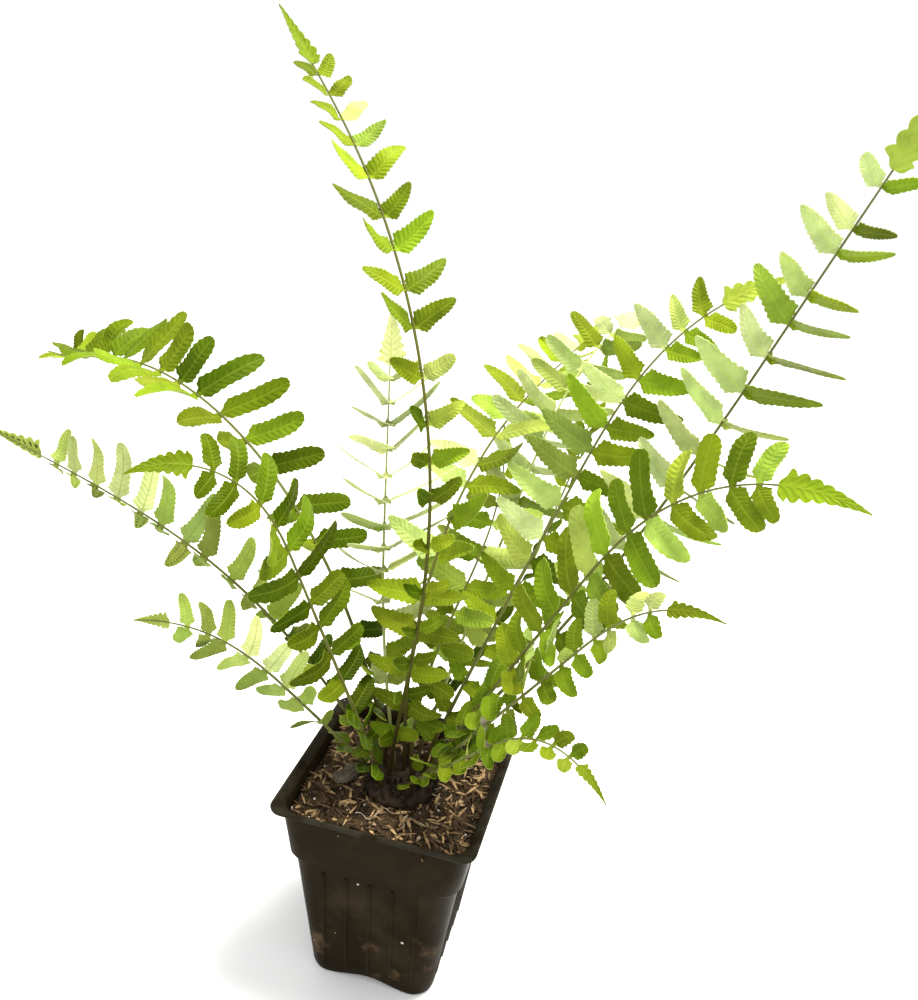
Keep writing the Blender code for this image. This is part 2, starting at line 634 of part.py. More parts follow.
def stem_tree(spine, swell):
    """A search tree of a frond's bare stem, thicker by swell than it is."""
    points = []
    faces = []
    for step in range(41):
        spot, _, left, normal = spine.at(step / 40)
        radius = RACHIS_FOOT + (RACHIS_TIP - RACHIS_FOOT) * step / 40 + swell
        points += [spot + left * radius + normal * radius, spot - left * radius + normal * radius,
                   spot - normal * radius * 1.4]
        if step:
            low = 3 * (step - 1)
            for corner in range(3):
                other = (corner + 1) % 3
                faces.append((low + corner, low + other, low + 3 + other, low + 3 + corner))
    return BVHTree.FromPolygons(points, faces)


stem_trees = {name: stem_tree(spine, CLEAR) for name, spine in spines.items()}
solid_trees = [bvh_of(pot), soil_tree, bvh_of(crown)]
label_bm = bmesh.new()
label_bm.from_mesh(label.data)
label_bm.transform(label.matrix_world)
solid_trees.append(BVHTree.FromBMesh(label_bm))
label_bm.free()
finished = []

for (name, *_, fold_left, fold_right, louvre_left, louvre_right, forward, tip_lead, greatest_mm, late,
     pairs) in FRONDS:
    spine = spines[name]
    length = spine.length
    half_root = ROOT_LENGTH / 2 / length
    others = solid_trees + finished + [tree for other, tree in stem_trees.items() if other != name]

    # The lobed end blade
    last = END_START - END_GAP / length
    half_end = END_SHARE * greatest_mm / 1000
    end_rings = []
    for place, left_edge, right_edge in END_BLADE:
        middle, _, left, normal = spine.at(END_START + (1.0 - END_START) * place)
        end_rings.append([middle + left * half_end * left_edge, middle - left * half_end * right_edge,
                          middle - normal * BLADE_TIP_KEEL])
    own_stem = stem_tree(spine, 0.0001)

    # Pairs of leaflets and the bends that keep them clear
    plans = []
    near = [blade_tree([spine.section(END_START)] + end_rings, spine.points[-1])]
    for pair in range(pairs):
        place = (pair + PAIR_JITTER * rng.random()) / (pairs - 1 + PAIR_JITTER)
        place *= 1.0 + CLOSING * (1.0 - place)
        share = FIRST_PINNA + (last - FIRST_PINNA) * place
        spot, tangent, left, normal = spine.at(share)
        radius = RACHIS_FOOT + (RACHIS_TIP - RACHIS_FOOT) * share
        blades = []
        for side, fold, louvre in ((1, fold_left, louvre_left), (-1, fold_right, louvre_right)):
            size = leaflet_length(share, greatest_mm / 1000, late) * rng.uniform(*SIZE_RANGE)
            wide = min(WIDEST, NARROWEST + WIDTH_SHARE * size)
            turn = louvre + rng.uniform(*TURN_RANGE)
            curl = rng.uniform(*CURL_RANGE)
            bow = rng.uniform(*BOW_RANGE)
            wander = rng.uniform(*WANDER_RANGE)
            ahead = forward + tip_lead * max(0.0, share - TIP_LEAD_FROM) / (1.0 - TIP_LEAD_FROM)
            ahead = min(MOST_LEAD, ahead + rng.uniform(*LEAD_RANGE))
            if size > LONG_FROM:
                sections = LONG_BLADE
            elif size > SHORT_FROM:
                sections = SHORT_BLADE
            else:
                sections = TINY_BLADE
            roots = leaflet_roots(spine, share, half_root, 0 if side > 0 else 1)
            chosen = None
            for more_fold, more_sweep, portion in BENDS:
                lift = math.radians(min(MOST_FOLD, fold + wander + more_fold))
                lead = math.radians(ahead + more_sweep)
                flat = left * side * math.cos(lead) + tangent * math.sin(lead)
                reach = flat * math.cos(lift) + normal * math.sin(lift)
                along = (tangent - reach * tangent.dot(reach)).normalized()
                up = reach.cross(along) * -side
                root = spot + left * side * (radius + STALK)
                args = (root, tangent, reach, along, up, size * portion, wide * (0.5 + 0.5 * portion), turn,
                        curl, bow, sections)
                swollen = blade_rings(*args, swell=CLEAR)
                if blade_tree(*swollen).overlap(own_stem):
                    continue
                exact = blade_rings(*args)
                tests = [blade_tree([foot] + rings, tip) for foot in roots for rings, tip in (swollen, exact)]
                if any(tree.overlap(other) for tree in tests for other in others + near):
                    continue
                chosen = exact
                near += [blade_tree([foot] + exact[0], exact[1]) for foot in roots]
                break
            blades.append(chosen)
        plans.append((share, blades))

    # The stem, ring by ring, with the faces that leaflets grow from
    bm = bmesh.new()
    foot = [Vector((p.x, p.y, STEM_FOOT)) for p in spine.section(0.0)]
    mouth = [Vector((p.x, p.y, STEM_START)) for p in spine.section(0.0)]
    face = first_ring(bm, foot)
    face = grow(bm, face, mouth)
    face = grow(bm, face, spine.section(BARE_FOOT))
    for share, blades in plans:
        face = grow(bm, face, spine.section(share - half_root))
        back = list(face.verts)
        face = grow(bm, face, spine.section(share + half_root))
        fore = list(face.verts)
        for side, blade in zip((0, 1), blades):
            if blade is None:
                continue
            root_face = bm.faces.get((back[side], fore[side], fore[2], back[2]))
            sprout(bm, root_face, (back[side], fore[side], fore[2], back[2]), *blade)

    # The end blade
    for ring in [spine.section(END_START)] + end_rings:
        face = draw_out(bm, face, ring)
    face = grow(bm, face, [spine.points[-1]] * 3)
    bmesh.ops.pointmerge(bm, verts=list(face.verts), merge_co=spine.points[-1])
    bmesh.ops.triangulate(bm, faces=bm.faces, quad_method="SHORT_EDGE")
    frond = as_object(name, bm, plant, paint(name + "_green", GREENS.get(name, GREEN), 0.5))
    finished.append(bvh_of(frond))

for obj in plant.objects:
    obj.data.set_sharp_from_angle(angle=math.radians(35))
    obj.data.shade_smooth()
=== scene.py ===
import json
import math
import random

import bmesh
import bpy
import numpy as np
from mathutils import Matrix, Vector, noise
from mathutils.bvhtree import BVHTree
from mathutils.kdtree import KDTree

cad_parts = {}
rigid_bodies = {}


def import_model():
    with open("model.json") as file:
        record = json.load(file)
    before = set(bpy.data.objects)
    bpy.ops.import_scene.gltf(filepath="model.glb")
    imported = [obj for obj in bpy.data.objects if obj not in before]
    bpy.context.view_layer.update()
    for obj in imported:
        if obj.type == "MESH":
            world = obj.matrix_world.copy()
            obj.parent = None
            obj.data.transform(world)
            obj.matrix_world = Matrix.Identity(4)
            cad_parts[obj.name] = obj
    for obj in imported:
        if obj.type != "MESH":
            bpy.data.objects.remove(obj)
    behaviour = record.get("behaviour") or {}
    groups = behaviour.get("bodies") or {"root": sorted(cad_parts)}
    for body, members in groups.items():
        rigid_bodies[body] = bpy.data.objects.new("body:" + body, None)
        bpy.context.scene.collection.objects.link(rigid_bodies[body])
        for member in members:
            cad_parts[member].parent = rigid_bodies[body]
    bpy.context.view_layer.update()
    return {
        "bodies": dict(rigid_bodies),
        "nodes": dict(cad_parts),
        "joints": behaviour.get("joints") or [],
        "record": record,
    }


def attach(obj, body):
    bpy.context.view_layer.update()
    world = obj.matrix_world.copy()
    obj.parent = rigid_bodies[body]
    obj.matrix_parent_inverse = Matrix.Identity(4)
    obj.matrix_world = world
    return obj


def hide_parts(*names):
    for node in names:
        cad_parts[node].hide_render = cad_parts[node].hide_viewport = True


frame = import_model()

bpy.ops.object.select_all(action="DESELECT")


# Studio. The camera stands in front of the pot and a little above the plant's middle, looking down on the
# rim. Soft daylight comes from above and slightly behind, so that the leaves glow, over a plain pale floor.
bpy.ops.object.camera_add(location=(0.09231, -0.35052, 0.38973))
camera = bpy.context.object
camera.name = "front_camera"
camera_right = Vector((0.96269, 0.25476, 0.09126))
camera_up = Vector((-0.18264, 0.36281, 0.91379))
camera_back = Vector((0.19968, -0.89636, 0.39580))
camera.rotation_euler = Matrix((camera_right, camera_up, camera_back)).transposed().to_euler()
camera.data.sensor_fit = "VERTICAL"
camera.data.sensor_width = 36.0
camera.data.sensor_height = 36.0
camera.data.lens = 36.0
camera.data.clip_start = 0.01
bpy.context.scene.camera = camera


def soft_box(name, place, aim, size, watts, colour):
    """A square soft light at a place, turned to what it lights."""
    bpy.ops.object.light_add(type="AREA", location=place)
    lamp = bpy.context.object
    lamp.name = name
    lamp.rotation_euler = (Vector(aim) - Vector(place)).to_track_quat("-Z", "Y").to_euler()
    lamp.data.size = size
    lamp.data.energy = watts
    lamp.data.color = colour


soft_box("overhead_light", (0.28, 0.22, 1.25), (0.0, 0.0, 0.20), 0.45, 31.0, (1.0, 0.97, 0.90))
soft_box("front_light", (-0.60, -1.10, 0.75), (0.0, 0.0, 0.18), 0.8, 3.0, (0.97, 0.98, 1.0))

room = bpy.data.worlds.new("white_room")
room.use_nodes = True
room_light = room.node_tree.nodes["Background"].inputs
room_light["Color"].default_value = (1.0, 1.0, 1.0, 1.0)
room_light["Strength"].default_value = 1.08
bpy.context.scene.world = room
bpy.context.scene.view_settings.view_transform = "Standard"


def put(tree, kind, inputs, **settings):
    """Adds a shader node with its settings, sets or links its inputs and gives back its first output."""
    made = tree.nodes.new("ShaderNode" + kind)
    for key, value in settings.items():
        setattr(made, key, value)
    for key, value in inputs.items():
        if isinstance(value, bpy.types.NodeSocket):
            tree.links.new(value, made.inputs[key])
        else:
            made.inputs[key].default_value = value
    return made.outputs[0]


def finish_of(name, roughness, **constants):
    """A new material, with its tree, its Principled node and the object's own coordinates."""
    material = bpy.data.materials.new(name)
    material.use_nodes = True
    tree = material.node_tree
    shader = tree.nodes["Principled BSDF"]
    shader.inputs["Roughness"].default_value = roughness
    for key, value in constants.items():
        shader.inputs[key.replace("_", " ")].default_value = value
    coordinates = tree.nodes.new("ShaderNodeTexCoord").outputs["Object"]
    return material, tree, shader, coordinates


floor_paint, tree, shader, coordinates = finish_of("pale_floor", 0.9)
shader.inputs["Base Color"].default_value = (0.92, 0.92, 0.92, 1.0)
bpy.ops.mesh.primitive_circle_add(vertices=96, radius=5.0, fill_type="NGON")
floor = bpy.context.object
floor.name = "floor"
floor.data.materials.append(floor_paint)


# Nursery pot. A thin square pot of black polypropylene, injection moulded in one piece: a rolled lip, a wide
# band, a narrower ribbed wall and a foot arched between its corners, with four drain holes in the floor.
POT_HALF = 0.0450
POT_HEIGHT = 0.100
LIP_Z = 0.0980
WALL = 0.0016
WALL_CORNER = 0.0095
BAND_TOP_HALF = 0.0418
BAND_FOOT_HALF = 0.0388
SKIRT_TOP_HALF = 0.0368
FOOT_HALF = 0.0290
SOLE_HALF = 0.0215
FLOOR_HALF = 0.0245
SKIRT_TOP_Z = 0.0700
BAND_FOOT_Z = 0.0720
FOOT_ARCH = 0.0032
FLOOR_THICKNESS = 0.0024
DRAIN_SPOT, DRAIN_RADIUS = 0.014, 0.0034
MUD_TOP_Z, MUD_FOOT_Z = 0.052, 0.002
SIDE_STEPS = 12
CORNER_STEPS = 8


def rounded_square(half, corner, z, arch=0.0):
    """Points round a square with round corners, the middle of each side raised by arch."""
    points = []
    straight = half - corner
    for side in range(4):
        turn = Matrix.Rotation(math.radians(90 * side - 90), 3, "Z")
        for step in range(SIDE_STEPS):
            share = step / SIDE_STEPS
            rise = arch * math.sin(math.pi * share) ** 2
            points.append(turn @ Vector((half, -straight + 2 * straight * share, z + rise)))
        for step in range(CORNER_STEPS):
            bend = math.radians(90) * step / CORNER_STEPS
            points.append(turn @ Vector((straight + corner * math.cos(bend),
                                         straight + corner * math.sin(bend), z)))
    return points


def drawn_up(name, rings):
    """A closed body drawn up from a filled circle, ring by ring, each ring going once round the Z axis."""
    bpy.ops.mesh.primitive_circle_add(vertices=len(rings[0]), radius=0.01, fill_type="NGON")
    body = bpy.context.object
    body.name = name
    bpy.ops.object.mode_set(mode="EDIT")
    bpy.ops.mesh.select_all(action="SELECT")
    for number, ring in enumerate(rings):
        if number:
            bpy.ops.mesh.extrude_region_move()
        shell = bmesh.from_edit_mesh(body.data)
        corners = sorted((v for v in shell.verts if v.select), key=lambda v: math.atan2(v.co.y, v.co.x))
        places = sorted(ring, key=lambda p: math.atan2(p.y, p.x))
        for corner, place in zip(corners, places):
            corner.co = place
        bmesh.update_edit_mesh(body.data)
    bpy.ops.mesh.select_all(action="SELECT")
    bpy.ops.mesh.normals_make_consistent(inside=False)
    bpy.ops.object.mode_set(mode="OBJECT")
    return body


def wall_half(z):
    """Half the pot's outer width at a height, without the lip."""
    if z <= SKIRT_TOP_Z:
        return FOOT_HALF + (SKIRT_TOP_HALF - FOOT_HALF) * z / SKIRT_TOP_Z
    above = max(0.0, z - BAND_FOOT_Z)
    return BAND_FOOT_HALF + (BAND_TOP_HALF - BAND_FOOT_HALF) * above / (LIP_Z - BAND_FOOT_Z)


POT_PROFILE = (
    (SOLE_HALF, WALL_CORNER, 0.0),
    (0.0262, WALL_CORNER - 0.002, 0.0, FOOT_ARCH * 0.6),
    (FOOT_HALF - 0.0012, WALL_CORNER - 0.0012, 0.0, FOOT_ARCH),
    (FOOT_HALF - 0.0003, WALL_CORNER - 0.0003, 0.0006, FOOT_ARCH),
    (wall_half(0.0022), WALL_CORNER, 0.0022, FOOT_ARCH * 0.7),
    (wall_half(0.0100), WALL_CORNER, 0.0100),
    (wall_half(0.0400), WALL_CORNER, 0.0400),
    (wall_half(0.0692), WALL_CORNER, 0.0692),
    (SKIRT_TOP_HALF + 0.0003, WALL_CORNER, SKIRT_TOP_Z + 0.0002),
    (BAND_FOOT_HALF - 0.0004, WALL_CORNER, BAND_FOOT_Z - 0.0006),
    (BAND_FOOT_HALF, WALL_CORNER, BAND_FOOT_Z + 0.0003),
    (wall_half(0.0840), WALL_CORNER, 0.0840),
    (BAND_TOP_HALF, WALL_CORNER, LIP_Z - 0.0008),
    (BAND_TOP_HALF + 0.0010, 0.0085, LIP_Z - 0.0005),
    (POT_HALF - 0.0008, 0.0060, LIP_Z),
    (POT_HALF - 0.0002, 0.0063, LIP_Z + 0.0004),
    (POT_HALF, 0.0066, LIP_Z + 0.0010),
    (POT_HALF - 0.0002, 0.0064, LIP_Z + 0.0015),
    (POT_HALF - 0.0007, 0.0060, POT_HEIGHT),
    (POT_HALF - 0.0017, 0.0060, POT_HEIGHT),
    (POT_HALF - 0.0021, 0.0062, POT_HEIGHT - 0.0004),
    (BAND_TOP_HALF - WALL, WALL_CORNER - WALL, POT_HEIGHT - 0.0025),
    (BAND_FOOT_HALF - WALL, WALL_CORNER - WALL, BAND_FOOT_Z + 0.0010),
    (SKIRT_TOP_HALF - WALL, WALL_CORNER - WALL, SKIRT_TOP_Z - 0.0010),
    (wall_half(0.0056) - WALL, WALL_CORNER - WALL, 0.0056),
    (FLOOR_HALF, WALL_CORNER, FLOOR_THICKNESS),
)
nursery_pot = drawn_up("nursery_pot", [rounded_square(*row) for row in POT_PROFILE])

RIB_FOOT_Z = 0.0080
RIB_HEAD_Z = 0.0660
rib_length = RIB_HEAD_Z - RIB_FOOT_Z
rib_slope = math.atan2(wall_half(RIB_HEAD_Z) - wall_half(RIB_FOOT_Z), rib_length)
bpy.ops.mesh.primitive_cube_add(size=1.0)
rib = bpy.context.object
bpy.ops.object.mode_set(mode="EDIT")
bpy.ops.transform.resize(value=(0.0018, 0.0009, rib_length))
bpy.ops.mesh.bevel(offset=0.0004, segments=2)
bpy.ops.object.mode_set(mode="OBJECT")


def copy_of(model):
    """A copy of a modelled thing with its own mesh."""
    twin = model.copy()
    twin.data = model.data.copy()
    bpy.context.collection.objects.link(twin)
    return twin


def join_up(name, pieces):
    """Joins pieces into the first of them, which takes the name and keeps its place in its mesh."""
    bpy.ops.object.select_all(action="DESELECT")
    for piece in pieces:
        piece.select_set(True)
    bpy.context.view_layer.objects.active = pieces[0]
    if len(pieces) > 1:
        bpy.ops.object.join()
    joined = bpy.context.object
    joined.name = name
    bpy.ops.object.transform_apply(location=True, rotation=True, scale=True)
    bpy.ops.object.select_all(action="DESELECT")
    return joined


ribs = []
for side in range(4):
    for number in range(-2, 3):
        bar = copy_of(rib)
        lean = Matrix.Rotation(-rib_slope, 4, "X")
        middle = (RIB_FOOT_Z + RIB_HEAD_Z) / 2
        spot = Matrix.Translation((number * (0.0097 if side % 2 else 0.0105), -wall_half(middle), middle))
        bar.data.transform(Matrix.Rotation(math.radians(90 * side), 4, "Z") @ spot @ lean.inverted())
        ribs.append(bar)
bpy.data.objects.remove(rib)


def cut_out(piece, cutter):
    """Cuts one solid's shape out of another's."""
    cut = piece.modifiers.new("cut", "BOOLEAN")
    cut.object = cutter
    cut.solver = "EXACT"
    bpy.context.view_layer.objects.active = piece
    bpy.ops.object.modifier_apply(modifier="cut")
    bpy.data.objects.remove(cutter)


def smooth_over(piece, degrees):
    """Shades a piece smooth, save where it turns by more than an angle."""
    bpy.ops.object.select_all(action="DESELECT")
    piece.select_set(True)
    bpy.context.view_layer.objects.active = piece
    bpy.ops.object.shade_smooth_by_angle(angle=math.radians(degrees))
    bpy.ops.object.select_all(action="DESELECT")


drains = []
for x in (-DRAIN_SPOT, DRAIN_SPOT):
    for y in (-DRAIN_SPOT, DRAIN_SPOT):
        bpy.ops.mesh.primitive_cylinder_add(vertices=24, radius=DRAIN_RADIUS, depth=0.010,
                                            location=(x, y, 0.0))
        drains.append(bpy.context.object)
cut_out(nursery_pot, join_up("drain_cutter", drains))
nursery_pot = join_up("nursery_pot", [nursery_pot] + ribs)
smooth_over(nursery_pot, 38)


def mix_colour(tree, factor, first, second):
    """Mixes two colours by a factor, each of them a colour or another node's output."""
    made = tree.nodes.new("ShaderNodeMix")
    made.data_type = "RGBA"
    for index, value in ((0, factor), (6, first), (7, second)):
        if isinstance(value, bpy.types.NodeSocket):
            tree.links.new(value, made.inputs[index])
        elif index:
            made.inputs[index].default_value = (*value, 1.0)
        else:
            made.inputs[index].default_value = value
    return made.outputs[2]


def ramp(tree, value, low, high):
    """A smooth step from 0 to 1, as a value goes from low to high."""
    return put(tree, "MapRange", {0: value, 1: low, 2: high}, interpolation_type="SMOOTHSTEP")


def spread(tree, value, low, high):
    """A value from 0 to 1, spread from low to high."""
    return put(tree, "MapRange", {0: value, 3: low, 4: high})


def sums(tree, operation, first, second=0.0):
    """A step of arithmetic on two values."""
    return put(tree, "Math", {0: first, 1: second}, operation=operation)


def stained(tree, colour, mask, share, stain):
    """A colour with a share of a stain over it, where a mask lies."""
    return mix_colour(tree, sums(tree, "MULTIPLY", mask, share), colour, stain)


def fine_grain(tree, coordinates, scale, detail=2.0):
    """A fine uneven height."""
    return put(tree, "TexNoise", {"Vector": coordinates, "Scale": scale, "Detail": detail})


def effect_group(name, values):
    """A node group that makes a mask from a place and some numbers, for an effect that materials share."""
    group = bpy.data.node_groups.new(name, "ShaderNodeTree")
    group.interface.new_socket("Place", in_out="INPUT", socket_type="NodeSocketVector")
    for value in values:
        group.interface.new_socket(value, in_out="INPUT", socket_type="NodeSocketFloat")
    group.interface.new_socket("Mask", in_out="OUTPUT", socket_type="NodeSocketFloat")
    return group, group.nodes.new("NodeGroupInput").outputs, group.nodes.new("NodeGroupOutput").inputs["Mask"]


def use_effect(tree, group, place, **values):
    """Places an effect group in a material and gives back its mask."""
    made = tree.nodes.new("ShaderNodeGroup")
    made.node_tree = group
    tree.links.new(place, made.inputs["Place"])
    for key, value in values.items():
        made.inputs[key].default_value = value
    return made.outputs["Mask"]


# clouds: soft-edged patches, for dust, stains and uneven colour
clouds, given, mask = effect_group("clouds", ("Scale", "From", "To"))
cloud_noise = put(clouds, "TexNoise", {"Vector": given["Place"], "Scale": given["Scale"], "Detail": 5.0,
                                       "Roughness": 0.6})
clouds.links.new(ramp(clouds, cloud_noise, given["From"], given["To"]), mask)

# specks: small scattered dots, for grit and flecks
specks, given, mask = effect_group("specks", ("Scale", "Size", "Share"))
cells = specks.nodes.new("ShaderNodeTexVoronoi")
specks.links.new(given["Place"], cells.inputs["Vector"])
specks.links.new(given["Scale"], cells.inputs["Scale"])
near_dot = sums(specks, "LESS_THAN", cells.outputs["Distance"], given["Size"])
lot = put(specks, "SeparateColor", {0: cells.outputs["Color"]})
chosen_dot = sums(specks, "LESS_THAN", lot, given["Share"])
specks.links.new(sums(specks, "MULTIPLY", near_dot, chosen_dot), mask)


def coat(tree, shader, colour, height=None, distance=0.0, strength=1.0):
    """Feeds a colour, and a height where there is one, to a material's shader."""
    tree.links.new(colour, shader.inputs["Base Color"])
    if height is not None:
        bump = put(tree, "Bump", {"Height": height, "Distance": distance, "Strength": strength})
        tree.links.new(bump, shader.inputs["Normal"])


pot_plastic, tree, shader, coordinates = finish_of("black_pot_plastic", 0.46, Specular_IOR_Level=0.02)
height_z = put(tree, "SeparateXYZ", {0: coordinates}).node.outputs["Z"]
dust = use_effect(tree, clouds, coordinates, Scale=38.0, From=0.44, To=0.74)
colour = mix_colour(tree, dust, (0.0105, 0.0072, 0.0026), (0.0250, 0.0185, 0.0100))
# The lip's top edge is lightened in patches: partly rubbed wear, partly a painted highlight along the rim.
lip_wear_and_highlight = sums(tree, "MULTIPLY", ramp(tree, height_z, LIP_Z - 0.0005, LIP_Z + 0.0012),
                use_effect(tree, clouds, coordinates, Scale=120.0, From=0.30, To=0.66))
colour = stained(tree, colour, lip_wear_and_highlight, 0.35, (0.050, 0.050, 0.040))
smudge = sums(tree, "MULTIPLY", ramp(tree, height_z, MUD_TOP_Z, MUD_FOOT_Z),
              use_effect(tree, clouds, coordinates, Scale=62.0, From=0.56, To=0.70))
colour = stained(tree, colour, smudge, 0.85, (0.105, 0.064, 0.035))
grit = use_effect(tree, specks, coordinates, Scale=190.0, Size=0.13, Share=0.05)
colour = stained(tree, colour, grit, 0.8, (0.55, 0.50, 0.42))
coat(tree, shader, colour, fine_grain(tree, coordinates, 1500.0), 0.00006)
tree.links.new(spread(tree, dust, 0.38, 0.62), shader.inputs["Roughness"])
nursery_pot.data.materials.append(pot_plastic)
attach(nursery_pot, "root")
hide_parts("pot")


# Potting mix. Dark peat and bark fines fill the pot to a few millimetres under the lip, with a raised clod at
# the front left. Bark fibres, hulls, crumbs and white grains lie in its top, with a few pale root threads.
SOIL_LEVEL = 0.0920
SOIL_GAP = 0.0003
SOIL_RELIEF = 0.0011
CLOD_X, CLOD_Y, CLOD_RADIUS, CLOD_HEIGHT = -0.0305, -0.0185, 0.0085, 0.0048
PIT_RADIUS = 0.0165
TOP_RINGS, TOP_SHARE = 34, 0.975
STREWN_REACH, STREWN_CORNER, STREWN_OFF_CROWN = 0.0385, 0.006, 0.0172
mix_draw = random.Random(41)


def soil_height(x, y):
    """The height of the soil's uneven top, without its crumbs."""
    bumps = noise.noise(Vector((x * 90, y * 90, 3.1))) + 0.5 * noise.noise(Vector((x * 210, y * 210, 8.4)))
    bumps *= min(1.0, max(0.2, (math.hypot(x, y) - PIT_RADIUS) / 0.006))
    clod = math.hypot(x - CLOD_X, y - CLOD_Y) / CLOD_RADIUS
    return SOIL_LEVEL + SOIL_RELIEF * bumps + CLOD_HEIGHT * math.exp(-2.2 * clod * clod)


def inner_wall(z):
    """The pot's inner wall at a height, with the soil's small gap."""
    return rounded_square(wall_half(z) - WALL - SOIL_GAP, WALL_CORNER - WALL - SOIL_GAP, z)


mix_edge = inner_wall(SOIL_LEVEL)
mix_rings = [
    rounded_square(FLOOR_HALF, WALL_CORNER, FLOOR_THICKNESS + SOIL_GAP),
    inner_wall(0.0059),
    inner_wall(SKIRT_TOP_Z - 0.0010),
    inner_wall(BAND_FOOT_Z + 0.0013),
    [Vector((p.x, p.y, SOIL_LEVEL - 0.0006)) for p in mix_edge],
]
bearings = [math.atan2(edge.y, edge.x) for edge in mix_edge]
for number in range(TOP_RINGS + 1):
    share = TOP_SHARE - TOP_SHARE * number / TOP_RINGS
    ring = []
    for edge, angle in zip(mix_edge, bearings):
        pit_x, pit_y = PIT_RADIUS * math.cos(angle), PIT_RADIUS * math.sin(angle)
        x, y = pit_x + (edge.x - pit_x) * share, pit_y + (edge.y - pit_y) * share
        crumb = noise.noise(Vector((x * 620, y * 620, 1.0))) * 0.0007
        crumb += abs(noise.noise(Vector((x * 330, y * 330, 5.0)))) * 0.0009
        ring.append(Vector((x, y, soil_height(x, y) + crumb - 0.0004)))
    mix_rings.append(ring)
for radius, drop in ((PIT_RADIUS - 0.0006, 0.0015), (PIT_RADIUS - 0.0011, 0.0060), (0.0114, 0.0095)):
    mix_rings.append([Vector((radius * math.cos(angle), radius * math.sin(angle), SOIL_LEVEL - drop))
                      for angle in bearings])
potting_mix = drawn_up("potting_mix", mix_rings)
smooth_over(potting_mix, 50)

peat, tree, shader, coordinates = finish_of("peat_and_bark", 0.93, Specular_IOR_Level=0.2)
damp = use_effect(tree, clouds, coordinates, Scale=150.0, From=0.35, To=0.68)
colour = mix_colour(tree, damp, (0.016, 0.010, 0.004), (0.075, 0.045, 0.020))
fines = use_effect(tree, specks, coordinates, Scale=900.0, Size=0.32, Share=0.30)
colour = stained(tree, colour, fines, 0.75, (0.20, 0.125, 0.055))
coat(tree, shader, colour, fine_grain(tree, coordinates, 1100.0, 6.0), 0.0008)
potting_mix.data.materials.append(peat)
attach(potting_mix, "root")
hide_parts("soil")


def shade_copy(piece, tone, second=0.0, third=0.0):
    """Gives a copy its own tone, which its material reads, so that no two copies look alike."""
    tones = np.ones((len(piece.data.vertices), 4))
    tones[:, 0], tones[:, 1], tones[:, 2] = tone, second, third
    layer = piece.data.color_attributes.new(name="tone", type="FLOAT_COLOR", domain="POINT")
    layer.data.foreach_set("color", tones.ravel())


def own_tone(tree):
    """The tone that a copy was given, as its red, green and blue."""
    return put(tree, "SeparateColor", {0: put(tree, "VertexColor", {}, layer_name="tone")}).node.outputs


def on_soil():
    """A random place on the soil, off the crown and inside the walls."""
    while True:
        x = mix_draw.uniform(-STREWN_REACH, STREWN_REACH)
        y = mix_draw.uniform(-STREWN_REACH, STREWN_REACH)
        corner_x = max(0.0, abs(x) - (STREWN_REACH - STREWN_CORNER))
        corner_y = max(0.0, abs(y) - (STREWN_REACH - STREWN_CORNER))
        if math.hypot(x, y) > STREWN_OFF_CROWN and math.hypot(corner_x, corner_y) < STREWN_CORNER:
            return x, y


def strewn(name, model, count, sizes, sink, tilt):
    """Copies of a model strewn over the soil, each with its own size, turn and tone, joined as one piece."""
    pieces = []
    for number in range(count):
        bit = copy_of(model)
        x, y = on_soil()
        scale = [mix_draw.uniform(*size) for size in sizes]
        turn = Matrix.Rotation(mix_draw.uniform(0, 2 * math.pi), 4, "Z")
        turn = turn @ Matrix.Rotation(math.radians(mix_draw.uniform(-tilt, tilt)), 4, "Y")
        turn = turn @ Matrix.Rotation(math.radians(mix_draw.uniform(-tilt, tilt)), 4, "X")
        spot = Matrix.Translation((x, y, soil_height(x, y) + scale[2] * sink))
        bit.data.transform(spot @ turn @ Matrix.Diagonal((*scale, 1.0)))
        shade_copy(bit, mix_draw.random())
        pieces.append(bit)
    bpy.data.objects.remove(model)
    return join_up(name, pieces)


def lump(unevenness, seed):
    """A small uneven lump, to strew."""
    bpy.ops.mesh.primitive_ico_sphere_add(subdivisions=2, radius=0.5)
    bpy.ops.object.mode_set(mode="EDIT")
    bpy.ops.transform.vertex_random(offset=unevenness, seed=seed)
    bpy.ops.object.mode_set(mode="OBJECT")
    return bpy.context.object


CRUMB_SIZES = ((0.0009, 0.0030), (0.0008, 0.0024), (0.0007, 0.0020))
mix_crumbs = strewn("mix_crumbs", lump(0.09, 7), 620, CRUMB_SIZES, 0.18, 40)
mix_crumbs.data.materials.append(peat)

bpy.ops.mesh.primitive_cube_add(size=1.0)
fibre = bpy.context.object
bpy.ops.object.mode_set(mode="EDIT")
bpy.ops.mesh.subdivide(number_cuts=1)
sliver = bmesh.from_edit_mesh(fibre.data)
for vert in sliver.verts:
    if abs(vert.co.x) > 0.4:
        vert.co.y *= 0.25
        vert.co.z = vert.co.z * 0.4 - 0.25
    if abs(vert.co.y) > 0.4 or abs(vert.co.z) > 0.4:
        vert.co.z *= 0.8
bmesh.update_edit_mesh(fibre.data)
bpy.ops.object.mode_set(mode="OBJECT")
FIBRE_SIZES = ((0.0024, 0.0098), (0.0006, 0.0018), (0.0004, 0.0010))
bark_fibres = strewn("bark_fibres", fibre, 560, FIBRE_SIZES, 0.9, 18)

bark, tree, shader, coordinates = finish_of("dry_bark_fibre", 0.85, Specular_IOR_Level=0.25)
dryness = ramp(tree, own_tone(tree)["Red"], 0.30, 1.0)
colour = mix_colour(tree, dryness, (0.045, 0.024, 0.009), (0.50, 0.33, 0.16))
streaks = use_effect(tree, clouds, coordinates, Scale=700.0, From=0.40, To=0.65)
colour = stained(tree, colour, streaks, 0.45, (0.045, 0.025, 0.014))
coat(tree, shader, colour, fine_grain(tree, coordinates, 1800.0, 3.0), 0.0003)
bark_fibres.data.materials.append(bark)

